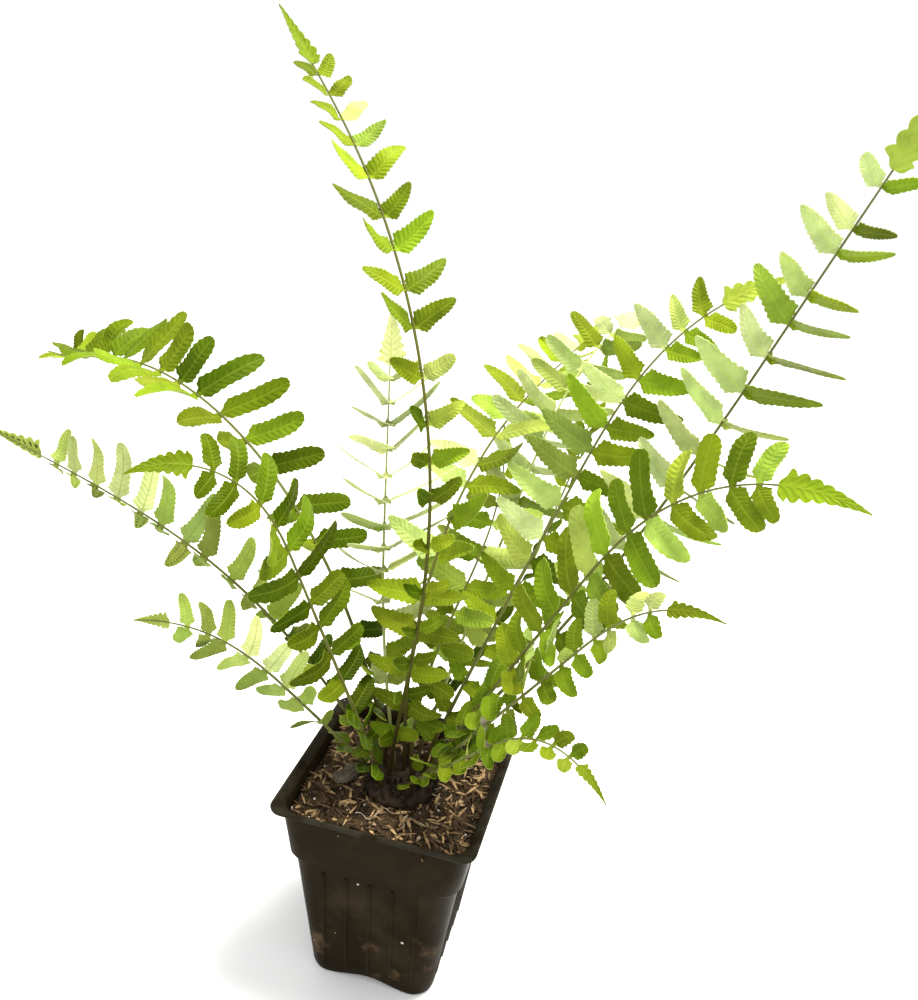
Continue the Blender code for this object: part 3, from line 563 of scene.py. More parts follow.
GRAIN_SIZES = ((0.0007, 0.0017), (0.0007, 0.0015), (0.0006, 0.0013))
white_grains = strewn("white_grains", lump(0.12, 3), 34, GRAIN_SIZES, 0.35, 60)
perlite, tree, shader, coordinates = finish_of("white_grain", 0.8)
dirt = use_effect(tree, clouds, coordinates, Scale=900.0, From=0.40, To=0.70)
coat(tree, shader, mix_colour(tree, dirt, (0.62, 0.59, 0.52), (0.26, 0.20, 0.14)))
white_grains.data.materials.append(perlite)


def thread_of(name, points, thickness):
    """A thin tube along a few points."""
    line = bpy.data.curves.new(name, "CURVE")
    line.dimensions = "3D"
    line.bevel_depth = thickness
    line.bevel_resolution = 1
    line.resolution_u = 5
    line.use_fill_caps = True
    spline = line.splines.new("NURBS")
    spline.points.add(len(points) - 1)
    for knot, point in zip(spline.points, points):
        knot.co = (*point, 1.0)
    spline.use_endpoint_u = True
    strand = bpy.data.objects.new(name, line)
    bpy.context.collection.objects.link(strand)
    bpy.ops.object.select_all(action="DESELECT")
    strand.select_set(True)
    bpy.context.view_layer.objects.active = strand
    bpy.ops.object.convert(target="MESH")
    return bpy.context.object


# each thread's start, heading and length
THREADS = ((0.0030, 0.0235, 40, 0.020), (0.0120, 0.0290, -25, 0.018), (0.0200, -0.0100, 100, 0.014),
           (-0.0120, -0.0250, 10, 0.016), (0.0080, -0.0280, 60, 0.012))
threads = []
for start_x, start_y, heading, length in THREADS:
    points = []
    for step in range(7):
        bearing = math.radians(heading + 35 * math.sin(step * 1.3 + start_x * 400))
        x = start_x + length * step / 6 * math.cos(bearing)
        y = start_y + length * step / 6 * math.sin(bearing)
        points.append((x, y, soil_height(x, y) + 0.0006 + 0.0005 * math.sin(step * 2.1)))
    threads.append(thread_of("root_thread", points, 0.00022))
root_threads = join_up("root_threads", threads)
root_skin, tree, shader, coordinates = finish_of("pale_root", 0.7)
dirt = use_effect(tree, clouds, coordinates, Scale=300.0, From=0.35, To=0.70)
coat(tree, shader, mix_colour(tree, dirt, (0.52, 0.46, 0.34), (0.24, 0.17, 0.10)))
root_threads.data.materials.append(root_skin)

for strewing in (mix_crumbs, bark_fibres, white_grains, root_threads):
    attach(strewing, "root")


# Crown. The fern's short upright rootstock, half sunk in the mix and wrapped in papery brown scales. The stems
# rise out of it, each from its own old leaf base.
CROWN_PROFILE = ((-0.0092, 0.0110), (-0.0060, 0.0148), (-0.0004, 0.0158), (0.0010, 0.0157), (0.0022, 0.0142),
                 (0.0032, 0.0122), (0.0040, 0.0098), (0.0045, 0.0060))
CROWN_SIDES = 40
SCALES, SCALE_REACH = 210, 0.0162
crown_rings = []
for z, radius in CROWN_PROFILE:
    ring = []
    for number in range(CROWN_SIDES):
        angle = 2 * math.pi * number / CROWN_SIDES
        lumps = 1.0 + 0.05 * noise.noise(Vector((math.cos(angle) * 3, math.sin(angle) * 3, z * 600)))
        out_to = radius * lumps
        ring.append(Vector((out_to * math.cos(angle), out_to * math.sin(angle), SOIL_LEVEL + z)))
    crown_rings.append(ring)
rootstock = drawn_up("rootstock", crown_rings)

bpy.ops.mesh.primitive_grid_add(x_subdivisions=4, y_subdivisions=2, size=1.0, location=(0.5, 0.0, 0.0))
scale_model = bpy.context.object
bpy.ops.object.transform_apply(location=True)
bpy.ops.object.mode_set(mode="EDIT")
husk = bmesh.from_edit_mesh(scale_model.data)
for vert in husk.verts:
    vert.co.y *= (0.55, 1.0, 0.85, 0.5, 0.08)[round(vert.co.x * 4)]
    vert.co.z = 0.25 * vert.co.x ** 2 - 0.5 * vert.co.y ** 2
bmesh.update_edit_mesh(scale_model.data)
bpy.ops.object.mode_set(mode="OBJECT")
skin = scale_model.modifiers.new("skin", "SOLIDIFY")
skin.thickness = 0.05
bpy.context.view_layer.objects.active = scale_model
bpy.ops.object.modifier_apply(modifier="skin")

scale_draw = random.Random(17)
husks = [rootstock]
for number in range(SCALES):
    angle = scale_draw.uniform(0, 2 * math.pi)
    radius = SCALE_REACH * math.sqrt(scale_draw.uniform(0.03, 1.0))
    lift = 0.0046 - 0.0052 * (radius / SCALE_REACH) ** 3
    blade = copy_of(scale_model)
    steep = math.radians(scale_draw.uniform(25, 75))
    size = scale_draw.uniform(0.0026, 0.0060)
    spot = (radius * math.cos(angle), radius * math.sin(angle), SOIL_LEVEL + lift - 0.0006)
    place = Matrix.Translation(spot) @ Matrix.Rotation(angle + scale_draw.uniform(-0.7, 0.7), 4, "Z")
    place = place @ Matrix.Rotation(-steep, 4, "Y")
    blade.data.transform(place @ Matrix.Diagonal((size, size * 0.42, size * 0.8, 1.0)))
    shade_copy(blade, scale_draw.random())
    husks.append(blade)
shade_copy(rootstock, 0.2)
bpy.data.objects.remove(scale_model)
scaly_crown = join_up("scaly_crown", husks)
papery, tree, shader, coordinates = finish_of("papery_scale", 0.8, Specular_IOR_Level=0.3)
colour = mix_colour(tree, own_tone(tree)["Red"], (0.012, 0.007, 0.003), (0.080, 0.045, 0.018))
streaks = use_effect(tree, clouds, coordinates, Scale=420.0, From=0.38, To=0.66)
colour = stained(tree, colour, streaks, 0.5, (0.018, 0.012, 0.009))
coat(tree, shader, colour, fine_grain(tree, coordinates, 1300.0, 3.0), 0.0004)
scaly_crown.data.materials.append(papery)
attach(scaly_crown, "root")
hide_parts("crown")


# Blank label. A narrow stake of dull pale plastic, punched with a round eye a little above the soil and pushed
# into the mix at the back right. It leans a little and is stained by splashed soil.
LABEL_WIDTH, LABEL_THICKNESS, LABEL_HEIGHT = 0.0084, 0.0008, 0.0370
LABEL_X, LABEL_Y, LABEL_FOOT_Z = 0.0280, 0.0366, 0.0840
EYE_Z, EYE_RADIUS = 0.0996, 0.0016
bpy.ops.mesh.primitive_cube_add(size=1.0)
blank_label = bpy.context.object
blank_label.name = "blank_label"
bpy.ops.object.mode_set(mode="EDIT")
bpy.ops.transform.resize(value=(LABEL_WIDTH, LABEL_THICKNESS, LABEL_HEIGHT))
bpy.ops.mesh.select_mode(type="EDGE")
bpy.ops.mesh.select_all(action="DESELECT")
plate = bmesh.from_edit_mesh(blank_label.data)
for edge in plate.edges:
    edge.select = abs(edge.verts[0].co.y - edge.verts[1].co.y) > 1e-5
plate.select_flush_mode()
bmesh.update_edit_mesh(blank_label.data)
bpy.ops.mesh.bevel(offset=0.0024, segments=6)
bpy.ops.object.mode_set(mode="OBJECT")
eye_place = (0.0, 0.0, EYE_Z - LABEL_FOOT_Z - LABEL_HEIGHT / 2)
bpy.ops.mesh.primitive_cylinder_add(vertices=28, radius=EYE_RADIUS, depth=0.01, location=eye_place,
                                    rotation=(math.radians(90), 0, 0))
cut_out(blank_label, bpy.context.object)
soft_edge = blank_label.modifiers.new("soft_edge", "BEVEL")
soft_edge.width = 0.00018
soft_edge.segments = 2
bpy.ops.object.modifier_apply(modifier="soft_edge")
lean = Matrix.Rotation(math.radians(-5.0), 4, "Y")
blank_label.data.transform(Matrix.Translation((LABEL_X, LABEL_Y, LABEL_FOOT_Z + LABEL_HEIGHT / 2)) @ lean)
blank_label = join_up("blank_label", [blank_label])
smooth_over(blank_label, 35)
label_card, tree, shader, coordinates = finish_of("dull_label_plastic", 0.55)
stain = use_effect(tree, clouds, coordinates, Scale=210.0, From=0.42, To=0.72)
colour = mix_colour(tree, stain, (0.50, 0.46, 0.38), (0.25, 0.20, 0.14))
fly_specks = use_effect(tree, specks, coordinates, Scale=420.0, Size=0.25, Share=0.12)
colour = stained(tree, colour, fly_specks, 0.7, (0.09, 0.06, 0.04))
coat(tree, shader, colour, fine_grain(tree, coordinates, 900.0), 0.00005)
blank_label.data.materials.append(label_card)
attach(blank_label, "root")
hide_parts("plant_label")


# Leaflet blanks. Every leaflet is pressed from one of six flat blanks: three long ones, pointed, blunt and
# narrow, each with an eared base and scalloped edges, a short one, a small lobed one from the foot of a frond,
# and a frond's lobed end. Along X a blank runs from 0 at its stalk to 1 at its tip, and Y is its half width.
LEAF_THICKNESS = 0.00034
EDGE_ROWS = 4


def leaflet_blank(name, outline, teeth, columns_a_tooth, notch, lean, quilt):
    """A leaflet pressed from a grid: drawn in to its outline, scalloped, quilted between its side veins and
    given its thickness. Each row of outline is a place along it and the front and rear half width there."""
    toothed_from, toothed_to = 0.035, 0.93
    shares = [0.0, 0.006, 0.016]
    depths = [1.0, 1.0, 1.0]
    count = teeth * columns_a_tooth
    for number in range(count):
        shares.append(toothed_from + (toothed_to - toothed_from) * number / (count - 1))
        phase = (number % columns_a_tooth) / columns_a_tooth
        depths.append(1.0 - notch * (1.0 - math.sin(math.pi * (phase + 0.5 / columns_a_tooth)) ** 0.6))
    shares += [0.965, 0.988, 1.0]
    depths += [1.0, 1.0, 1.0]
    columns = len(shares) - 1
    bpy.ops.mesh.primitive_grid_add(x_subdivisions=columns, y_subdivisions=EDGE_ROWS, size=1.0,
                                    location=(0.5, 0.0, 0.0), calc_uvs=True)
    blank = bpy.context.object
    blank.name = name
    bpy.ops.object.transform_apply(location=True)
    places = [row[0] for row in outline]
    bpy.ops.object.mode_set(mode="EDIT")
    bpy.ops.mesh.select_mode(type="VERT")
    sheet = bmesh.from_edit_mesh(blank.data)
    uv = sheet.loops.layers.uv.active
    for vert in sheet.verts:
        column = round(vert.co.x * columns)
        share = shares[column]
        across = vert.co.y * 2
        front = float(np.interp(share, places, [row[1] for row in outline]))
        rear = float(np.interp(share, places, [row[2] for row in outline]))
        edge = abs(across) > 0.9
        half = (front if across > 0 else rear) * (depths[column] if edge else 0.5 + 0.5 * depths[column])
        step = lean * abs(across) ** 2 * (0.6 if 2 < column < columns - 1 else 0.0)
        crest = depths[column] > 1.0 - 0.4 * notch
        lift = quilt * (0.5 if crest else -0.2) if 0.2 < abs(across) < 0.9 else 0.0
        if abs(across) < 0.1:
            lift = -0.35 * quilt
        vert.co = (min(share + step, 1.0), half * across, lift)
        for loop in vert.link_loops:
            loop[uv].uv = (share, 0.5 + 0.5 * across)
    bmesh.update_edit_mesh(blank.data)
    bpy.ops.object.mode_set(mode="OBJECT")
    body = blank.modifiers.new("thickness", "SOLIDIFY")
    body.thickness = LEAF_THICKNESS
    body.offset = 0.0
    body.material_offset = 1
    body.material_offset_rim = 1
    blank.data.materials.append(None)
    blank.data.materials.append(None)
    bpy.context.view_layer.objects.active = blank
    bpy.ops.object.modifier_apply(modifier="thickness")
    return blank


BASE = ((0.0, 0.13, 0.11), (0.006, 0.22, 0.18), (0.016, 0.34, 0.27), (0.035, 0.45, 0.36))
TIP = ((0.965, 0.16, 0.15), (0.988, 0.09, 0.085), (1.0, 0.02, 0.02))
long_blanks = {
    "pointed": leaflet_blank(
        "pointed_blank",
        (*BASE, (0.07, 0.57, 0.45), (0.12, 0.59, 0.47), (0.20, 0.51, 0.43), (0.36, 0.45, 0.40),
         (0.52, 0.41, 0.38), (0.66, 0.35, 0.33), (0.78, 0.28, 0.26), (0.87, 0.20, 0.19), (0.93, 0.14, 0.13),
         (0.965, 0.09, 0.085), (0.988, 0.05, 0.045), (1.0, 0.01, 0.01)), 9, 4, 0.27, 0.044, 0.00028),
    "blunt": leaflet_blank(
        "blunt_blank",
        (*BASE, (0.07, 0.50, 0.40), (0.12, 0.52, 0.43), (0.20, 0.47, 0.41), (0.40, 0.45, 0.41),
         (0.60, 0.46, 0.43), (0.75, 0.42, 0.40), (0.86, 0.34, 0.32), (0.93, 0.24, 0.23), *TIP),
        8, 4, 0.23, 0.042, 0.00028),
    "narrow": leaflet_blank(
        "narrow_blank",
        (*BASE, (0.07, 0.50, 0.40), (0.12, 0.47, 0.39), (0.20, 0.40, 0.35), (0.40, 0.36, 0.33),
         (0.60, 0.34, 0.32), (0.75, 0.30, 0.28), (0.86, 0.24, 0.23), (0.93, 0.17, 0.16), (0.965, 0.11, 0.105),
         (0.988, 0.06, 0.055), (1.0, 0.01, 0.01)), 10, 4, 0.24, 0.036, 0.00022)}
short_blank = leaflet_blank(
    "short_blank",
    (*BASE, (0.08, 0.54, 0.46), (0.14, 0.57, 0.48), (0.28, 0.50, 0.45), (0.46, 0.48, 0.45), (0.70, 0.43, 0.41),
     (0.82, 0.36, 0.34), (0.93, 0.23, 0.22), *TIP), 6, 4, 0.26, 0.050, 0.00022)
small_blank = leaflet_blank(
    "small_blank",
    (*BASE, (0.10, 0.54, 0.49), (0.20, 0.60, 0.55), (0.50, 0.56, 0.53), (0.74, 0.47, 0.45), (0.93, 0.27, 0.26),
     *TIP), 4, 5, 0.28, 0.06, 0.00016)

END_LOBES = 9.0
end_outline = []
for share in np.linspace(0.0, 1.0, 121):
    row = [share]
    for shift in (0.0, 0.45):
        lobe = (END_LOBES * (1.0 - (1.0 - share) ** 0.75) + shift) % 1.0
        cleft = (0.42 - 0.26 * share) * (1.0 - math.sin(math.pi * lobe ** 1.35) ** 0.6)
        body = 1.12 * (1.0 - share) ** 1.05 * min(1.0, 0.20 + (share + 0.04 * shift) / 0.09)
        row.append(max(0.012, body * (1.0 - cleft)))
    end_outline.append(row)
tip_blank = leaflet_blank("tip_blank", end_outline, 34, 3, 0.02, 0.055, 0.0)
bpy.ops.object.select_all(action="DESELECT")

# veins: the pattern that a leaflet's own UV map carries, U along it and V across it
SIDE_VEINS, VEIN_SLANT = 10.0, 1.15
SPORE_ROW = 0.48
leaf_veins = bpy.data.node_groups.new("leaf_veins", "ShaderNodeTree")
for result in ("Vein", "Height", "Dots"):
    leaf_veins.interface.new_socket(result, in_out="OUTPUT", socket_type="NodeSocketFloat")
out = leaf_veins.nodes.new("NodeGroupOutput").inputs


def on_leaf(operation, first, second=0.0):
    """A step in working out a leaflet's pattern."""
    return sums(leaf_veins, operation, first, second)


own_map = put(leaf_veins, "SeparateXYZ", {0: put(leaf_veins, "UVMap", {}, uv_map="UVMap")}).node.outputs
across = on_leaf("MULTIPLY", on_leaf("ABSOLUTE", on_leaf("SUBTRACT", own_map["Y"], 0.5)), 2.0)
phase = on_leaf("MULTIPLY", own_map["X"], SIDE_VEINS)
phase = on_leaf("FRACT", on_leaf("SUBTRACT", phase, on_leaf("MULTIPLY", across, VEIN_SLANT)))
from_vein = on_leaf("ABSOLUTE", on_leaf("SUBTRACT", phase, 0.5))
midrib = ramp(leaf_veins, across, 0.10, 0.02)
side_vein = on_leaf("MULTIPLY", ramp(leaf_veins, from_vein, 0.10, 0.0), 0.6)
leaf_veins.links.new(on_leaf("MAXIMUM", midrib, side_vein), out["Vein"])
bulge = on_leaf("MULTIPLY", ramp(leaf_veins, from_vein, 0.0, 0.42), ramp(leaf_veins, across, 0.0, 0.25))
leaf_veins.links.new(bulge, out["Height"])
from_row = on_leaf("MULTIPLY", on_leaf("ABSOLUTE", on_leaf("SUBTRACT", across, SPORE_ROW)), 1.6)
from_spore = on_leaf("SQRT", on_leaf("ADD", on_leaf("MULTIPLY", from_vein, from_vein),
                                     on_leaf("MULTIPLY", from_row, from_row)))
leaf_veins.links.new(ramp(leaf_veins, from_spore, 0.30, 0.22), out["Dots"])


def vein_pattern(tree):
    """The leaflet's veins, height and spore dots, placed in a material."""
    made = tree.nodes.new("ShaderNodeGroup")
    made.node_tree = leaf_veins
    return made.outputs


def leaf_finish(name, pale, young, old_and_shaded, vein_colour, vein_share, roughness, dotted):
    """A leaf surface. A leaflet's tone gives its brightness (red), its age and painted shade (green) and its
    spots (blue).
    """
    material, tree, shader, coordinates = finish_of(
        name, roughness, Subsurface_Weight=0.20, Subsurface_Scale=0.0014, Specular_IOR_Level=0.03)
    shader.inputs["Subsurface Radius"].default_value = (0.7, 1.0, 0.25)
    tone = own_tone(tree)
    colour = mix_colour(tree, tone["Green"], young, old_and_shaded)
    paleness = ramp(tree, tone["Green"], 0.42, 0.0)
    colour = mix_colour(tree, paleness, colour, pale)
    patchy = use_effect(tree, clouds, coordinates, Scale=95.0, From=0.35, To=0.70)
    colour = stained(tree, colour, patchy, 0.35, tuple(0.5 * part for part in old_and_shaded))
    own_hue = spread(tree, sums(tree, "FRACT", sums(tree, "MULTIPLY", tone["Red"], 7.3)), 0.492, 0.522)
    bright = spread(tree, tone["Red"], 0.62, 1.26)
    colour = put(tree, "HueSaturation", {"Color": colour, "Value": bright, "Hue": own_hue})
    pattern = vein_pattern(tree)
    vein_strength = sums(tree, "ADD", sums(tree, "MULTIPLY", paleness, 0.28), vein_share)
    colour = stained(tree, colour, pattern["Vein"], vein_strength, vein_colour)
    if dotted:
        colour = stained(tree, colour, pattern["Dots"], tone["Blue"], (0.045, 0.028, 0.014))
    fine = sums(tree, "MULTIPLY", fine_grain(tree, coordinates, 1400.0), 0.25)
    coat(tree, shader, colour, sums(tree, "ADD", pattern["Height"], fine), 0.00026, 0.60)
    return material


leaf_top = leaf_finish("leaf_top", (0.58, 0.62, 0.28), (0.34, 0.43, 0.020), (0.050, 0.075, 0.0006),
                       (0.42, 0.48, 0.06), 0.15, 0.46, False)
leaf_underside = leaf_finish("leaf_underside", (0.61, 0.65, 0.30), (0.46, 0.54, 0.13), (0.16, 0.205, 0.012),
                             (0.13, 0.18, 0.01), 0.36, 0.62, True)


# Fallen leaflet. One old leaflet has dried and dropped: it lies curled and grey-brown on the soil, left of the
# crown.
def points_of(piece):
    """The corners of a piece's mesh, as the rows of an array."""
    flat = np.empty(len(piece.data.vertices) * 3)
    piece.data.vertices.foreach_get("co", flat)
    return flat.reshape(-1, 3)


def curl_leaflet(blank, base, stem_point, reach, along, up, length, width, twist, curl, early, sickle=0.0,
                 wave=0.0, phase=0.0, cup=0.0, hook=0.0, wring=0.0):
    """A copy of a blank, bent to where it grows: reach is the way it points, along its front edge's side and
    up its upper face. It droops by curl, turns by twist and sweeps forward by sickle. Its halves rise by cup,
    its end rises by hook and its outer half turns on by wring."""
    leaf = copy_of(blank)
    x, y, z = points_of(leaf).T[:, :, None]
    reach, along, up, base = (np.array(value)[None] for value in (reach, along, up, base))
    middle = base + reach * length * x - up * curl * length * x * x + along * sickle * length * x * x
    far = np.clip((x - 0.45) / 0.55, 0.0, 1.0) ** 2
    middle = middle + up * hook * length * far
    root_pull = np.clip(1.0 - x / 0.006, 0.0, 1.0)
    middle = middle + (np.array(stem_point)[None] - base) * root_pull
    ramp_up = np.clip(x / early, 0.0, 1.0)
    turn = math.radians(twist) * ramp_up * ramp_up * (3 - 2 * ramp_up) + math.radians(wring) * far
    wide = along * np.cos(turn) + up * np.sin(turn)
    face = up * np.cos(turn) - along * np.sin(turn)
    ripple = wave * np.sin(x * 9.0 + phase) * np.abs(y) * 2
    placed = middle + wide * y * width + face * (z + ripple + cup * np.abs(y) * width * ramp_up)
    leaf.data.vertices.foreach_set("co", placed.ravel())
    if np.dot(np.cross(reach[0], along[0]), up[0]) < 0:
        leaf.data.flip_normals()
    leaf.data.update()
    return leaf


FALLEN_TURN = math.radians(68.0)
FALLEN_LENGTH, FALLEN_WIDTH = 0.0160, 0.0090
fallen_reach = Vector((math.cos(FALLEN_TURN), math.sin(FALLEN_TURN), 0.0))
fallen_side = Vector((-math.sin(FALLEN_TURN), math.cos(FALLEN_TURN), 0.0))
fallen_base = Vector((-0.0228, -0.0034, SOIL_LEVEL + 0.0022)) - fallen_reach * FALLEN_LENGTH / 2
fallen_leaflet = curl_leaflet(short_blank, fallen_base, fallen_base - fallen_reach * 0.001, fallen_reach,
                              fallen_side, Vector((0.0, 0.0, 1.0)), FALLEN_LENGTH, FALLEN_WIDTH, twist=8.0,
                              curl=0.04, early=0.5, sickle=0.05, wave=0.0006)
shade_copy(fallen_leaflet, 0.4)
fallen_leaflet = join_up("fallen_leaflet", [fallen_leaflet])
dry_leaf, tree, shader, coordinates = finish_of("dry_leaf", 0.85, Specular_IOR_Level=0.25)
blotch = use_effect(tree, clouds, coordinates, Scale=160.0, From=0.36, To=0.68)
colour = mix_colour(tree, blotch, (0.125, 0.105, 0.065), (0.055, 0.042, 0.024))
pattern = vein_pattern(tree)
colour = stained(tree, colour, pattern["Vein"], 0.5, (0.17, 0.15, 0.10))
coat(tree, shader, colour, pattern["Height"], 0.0004)
for place in range(len(fallen_leaflet.data.materials)):
    fallen_leaflet.data.materials[place] = dry_leaf
fallen_leaflet.data.shade_smooth()
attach(fallen_leaflet, "root")
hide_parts("dried_leaf")


# Fronds. Fifteen fronds rise from the crown and arch over. Each is one stem, grooved above, with pairs of
# stalked leaflets that are small near the foot, longest past the middle and run together in a lobed tip.
STEM_FOOT, STEM_TIP = 0.00112, 0.00055
STEM_START, STEM_ROOT_Z = 0.0940, 0.0864
STEPS = 80
UPRIGHT_FOOT, DROOP_SPAN = 0.06, 0.80
STALK = 0.0010
FIRST_PAIR, END_START, END_GAP = 0.065, 0.885, 0.0050
END_HALF_WIDTH = 0.00024
LONG_LEAFLET, SHORT_LEAFLET = 0.0135, 0.0085
LEAST_WIDTH, WIDTH_SHARE, GREATEST_WIDTH = 0.0030, 0.36, 0.0120
SMALL_FROND_MM = 15
SAME_PLACE = 0.00002
TO_LIGHT = Vector((0.15, -0.70, 0.70))

# how a leaflet may bend clear of what is near it: more fold, more forward sweep and the share of its length
BENDS = ((0, 0, 1.0), (14, 0, 1.0), (-14, 0, 1.0), (0, 14, 1.0), (0, -14, 1.0), (26, 6, 0.95), (-26, 6, 0.95),
         (14, 22, 0.9), (-14, 22, 0.9), (40, 10, 0.85), (-40, 10, 0.85), (0, 34, 0.8), (20, -20, 0.7),
         (-20, -20, 0.7), (0, 0, 0.6), (25, 25, 0.55), (-25, 25, 0.55), (0, 0, 0.42), (30, 0, 0.42),
         (-30, 0, 0.42))

# each frond: its seat in the crown (ring radius in mm, angle), heading, length in mm, lean, droop, where the
# droop comes, sweep, roll and how dark its stem is; below them, the fold of its left and right leaflets, their
# louvre, their forward sweep and how much more of it comes at the end, greatest leaflet in mm, how late it
# comes, pairs, the leaflets' shape, age of the left and right leaflets' green, spore dots and slot
FRONDS = (
    ("frond_01_tall_left", 5.0, 190, 145, 380, 99, 69, 0.53, -10, 0, 0.92,
     22, 36, 10, 10, 30, 20, 20, 0.22, 19, "pointed", 0.58, 0.46, 0.0, "leaf_green"),
    ("frond_02_tall_right", 10.5, 5, 15, 352, 53, -15, 0.34, -9, 62, 0.82,
     10, 14, 18, 70, 14, 22, 26, 0.05, 19, "pointed", 0.12, 0.52, 0.0, "leaf_green"),
    ("frond_03_centre_right", 10.5, 35, 41, 279, 67, 100, 0.98, -24, 52, 0.78,
     12, 15, 10, 10, 10, 22, 25, 0.05, 17, "pointed", 0.18, 0.5, 0.0, "leaf_green"),
    ("frond_04_right_arch", 10.5, 342, 345, 258, 63, 122, 0.93, -8, 58, 0.84,
     8, 8, -4, -4, 12, 22, 24, 0.05, 18, "blunt", 0.5, 0.5, 0.0, "leaf_green"),
    ("frond_05_right_small", 10.5, 315, 337, 202, 55, 121, 1.04, -16, 60, 0.76,
     8, 8, 0, 20, 14, 22, 13, 0.0, 14, "blunt", 0.42, 0.44, 0.0, "leaf_green"),
    ("frond_06_low_right", 10.5, 285, 330, 145, 47, 113, 0.90, -13, 25, 0.74,
     15, 15, 8, 8, 25, 15, 11, 0.0, 12, "blunt", 0.58, 0.58, 0.0, "leaf_green"),
    ("frond_07_left_top", 10.5, 148, 164, 402, 71, 87, 0.41, -29, -35, 0.82,
     60, 15, 5, 34, -26, 60, 30, 0.0, 19, "blunt", 0.6, 0.62, 0.0, "leaf_green"),
    ("frond_08_leftmost", 10.5, 178, 175, 240, 51, 30, 0.43, 11, 92, 0.80,
     12, 60, 6, 0, 6, 22, 25, 0.0, 16, "narrow", 0.34, 0.6, 0.9, "leaf_green"),
    ("frond_09_left_mid", 10.5, 238, 211, 209, 69, 160, 0.98, 18, -50, 0.86,
     10, 15, 5, 5, 10, 22, 23, 0.05, 13, "blunt", 0.8, 0.84, 0.0, "leaf_green"),
    ("frond_10_low_left", 10.5, 208, 187, 135, 42, 65, 0.84, 6, 85, 0.78,
     8, 10, 0, 0, 12, 22, 20, 0.0, 10, "narrow", 0.34, 0.44, 0.0, "leaf_dark"),
    ("frond_11_back_pale", 5.0, 140, 132, 211, 57, -29, 0.22, 0, 0, 0.05,
     25, 25, 86, 74, 28, 15, 30, 0.0, 15, "narrow", 0.0, 0.0, 0.0, "leaf_pale"),
    ("frond_12_back_right", 10.5, 65, 66, 265, 63, 103, 0.91, -2, 15, 0.15,
     10, 15, 40, 76, 10, 22, 29, 0.0, 15, "narrow", 0.15, 0.15, 0.0, "leaf_pale"),
    ("frond_13_centre_arch", 5.0, 90, 81, 298, 103, 88, 0.35, -10, 0, 0.86,
     20, 30, 8, 8, 10, 22, 29, 0.0, 16, "pointed", 0.26, 0.42, 0.0, "leaf_green"),
    ("frond_14_centre", 5.0, 30, 52, 182, 101, 63, 0.30, 60, 0, 0.82,
     10, 10, 10, 10, 6, 22, 22, 0.0, 10, "blunt", 0.45, 0.45, 0.0, "leaf_green"),
    ("frond_15_back_dark", 10.5, 98, 67, 275, 32, -2, 0.52, 28, 0, 0.90,
     60, 60, 10, 10, 40, 6, 16, 0.0, 13, "blunt", 0.85, 0.85, 0.9, "leaf_dark"),
)


def smooth(value):
    """An S curve from 0 to 1."""
    value = min(1.0, max(0.0, value))
    return value * value * (3 - 2 * value)


class StemLine:
    """The curve that one frond's stem follows, with its sideways and upward directions."""

    def __init__(self, seat, heading, length, lean, droop, droop_at, sweep, roll):
        self.length = length
        self.points = [Vector((*seat, STEM_START))]
        self.frames = []
        for step in range(STEPS):
            share = (step + 0.5) / STEPS
            rise = lean - droop * smooth((share - (droop_at - DROOP_SPAN / 2)) / DROOP_SPAN)
            rise = math.radians(90 + (rise - 90) * min(1.0, share / UPRIGHT_FOOT))
            turn = math.radians(heading + sweep * share ** 1.5)
            tangent = Vector((math.cos(rise) * math.cos(turn), math.cos(rise) * math.sin(turn),
                              math.sin(rise)))
            left = Vector((-math.sin(turn), math.cos(turn), 0.0))
            normal = tangent.cross(left)
            tilt = math.radians(roll) * smooth(share / 0.5)
            self.frames.append((tangent, left * math.cos(tilt) + normal * math.sin(tilt),
                                normal * math.cos(tilt) - left * math.sin(tilt)))
            self.points.append(self.points[-1] + tangent * length / STEPS)

    def at(self, share):
        """Position, tangent, left and normal at a share of the length."""
        place = min(max(share, 0.0), 0.99999) * STEPS
        index = int(place)
        return (self.points[index].lerp(self.points[index + 1], place - index), *self.frames[index])

    def smoothed(self, shares):
        """Arrays of positions, left and normal directions at many shares."""
        knots = np.linspace(0.0, 1.0, STEPS + 1)
        middles = (knots[1:] + knots[:-1]) / 2
        points = np.array(self.points)
        spots = np.stack([np.interp(shares, knots, points[:, axis]) for axis in range(3)], 1)
        sides = [spots]
        for which in (1, 2):
            rows = np.array([frame[which] for frame in self.frames])
            rows = np.stack([np.interp(shares, middles, rows[:, axis]) for axis in range(3)], 1)
            sides.append(rows / np.linalg.norm(rows, axis=1)[:, None])
        return sides


def leaflet_length(share, greatest, late):
    """How long the leaflets are along a frond: small at the foot, longest past the middle."""
    foot, grown_from, grown_over = 0.52, 0.04, 0.44
    taper, taper_from, taper_over, least = 0.80, 0.60, 0.36, 0.2
    grown = foot + (1.0 - foot) * smooth((share - grown_from - late) / grown_over)
    tapered = 1.0 - taper * max(0.0, (share - taper_from) / taper_over) ** 1.7
    return greatest * grown * max(least, tapered)


def turns_to_light(twist, along, up):
    """Nearby twists, with the one first whose leaflet looks most towards the light in front."""
    def facing(turn):
        return (up * math.cos(math.radians(turn)) - along * math.sin(math.radians(turn))).dot(TO_LIGHT)
    return sorted((twist + more for more in (-45, -30, -15, 0, 15, 30, 45)), key=facing, reverse=True)


def tree_of(piece):
    """A search tree of a piece's faces, to find what it touches."""
    return BVHTree.FromPolygons([vert.co for vert in piece.data.vertices],
                                [face.vertices for face in piece.data.polygons])


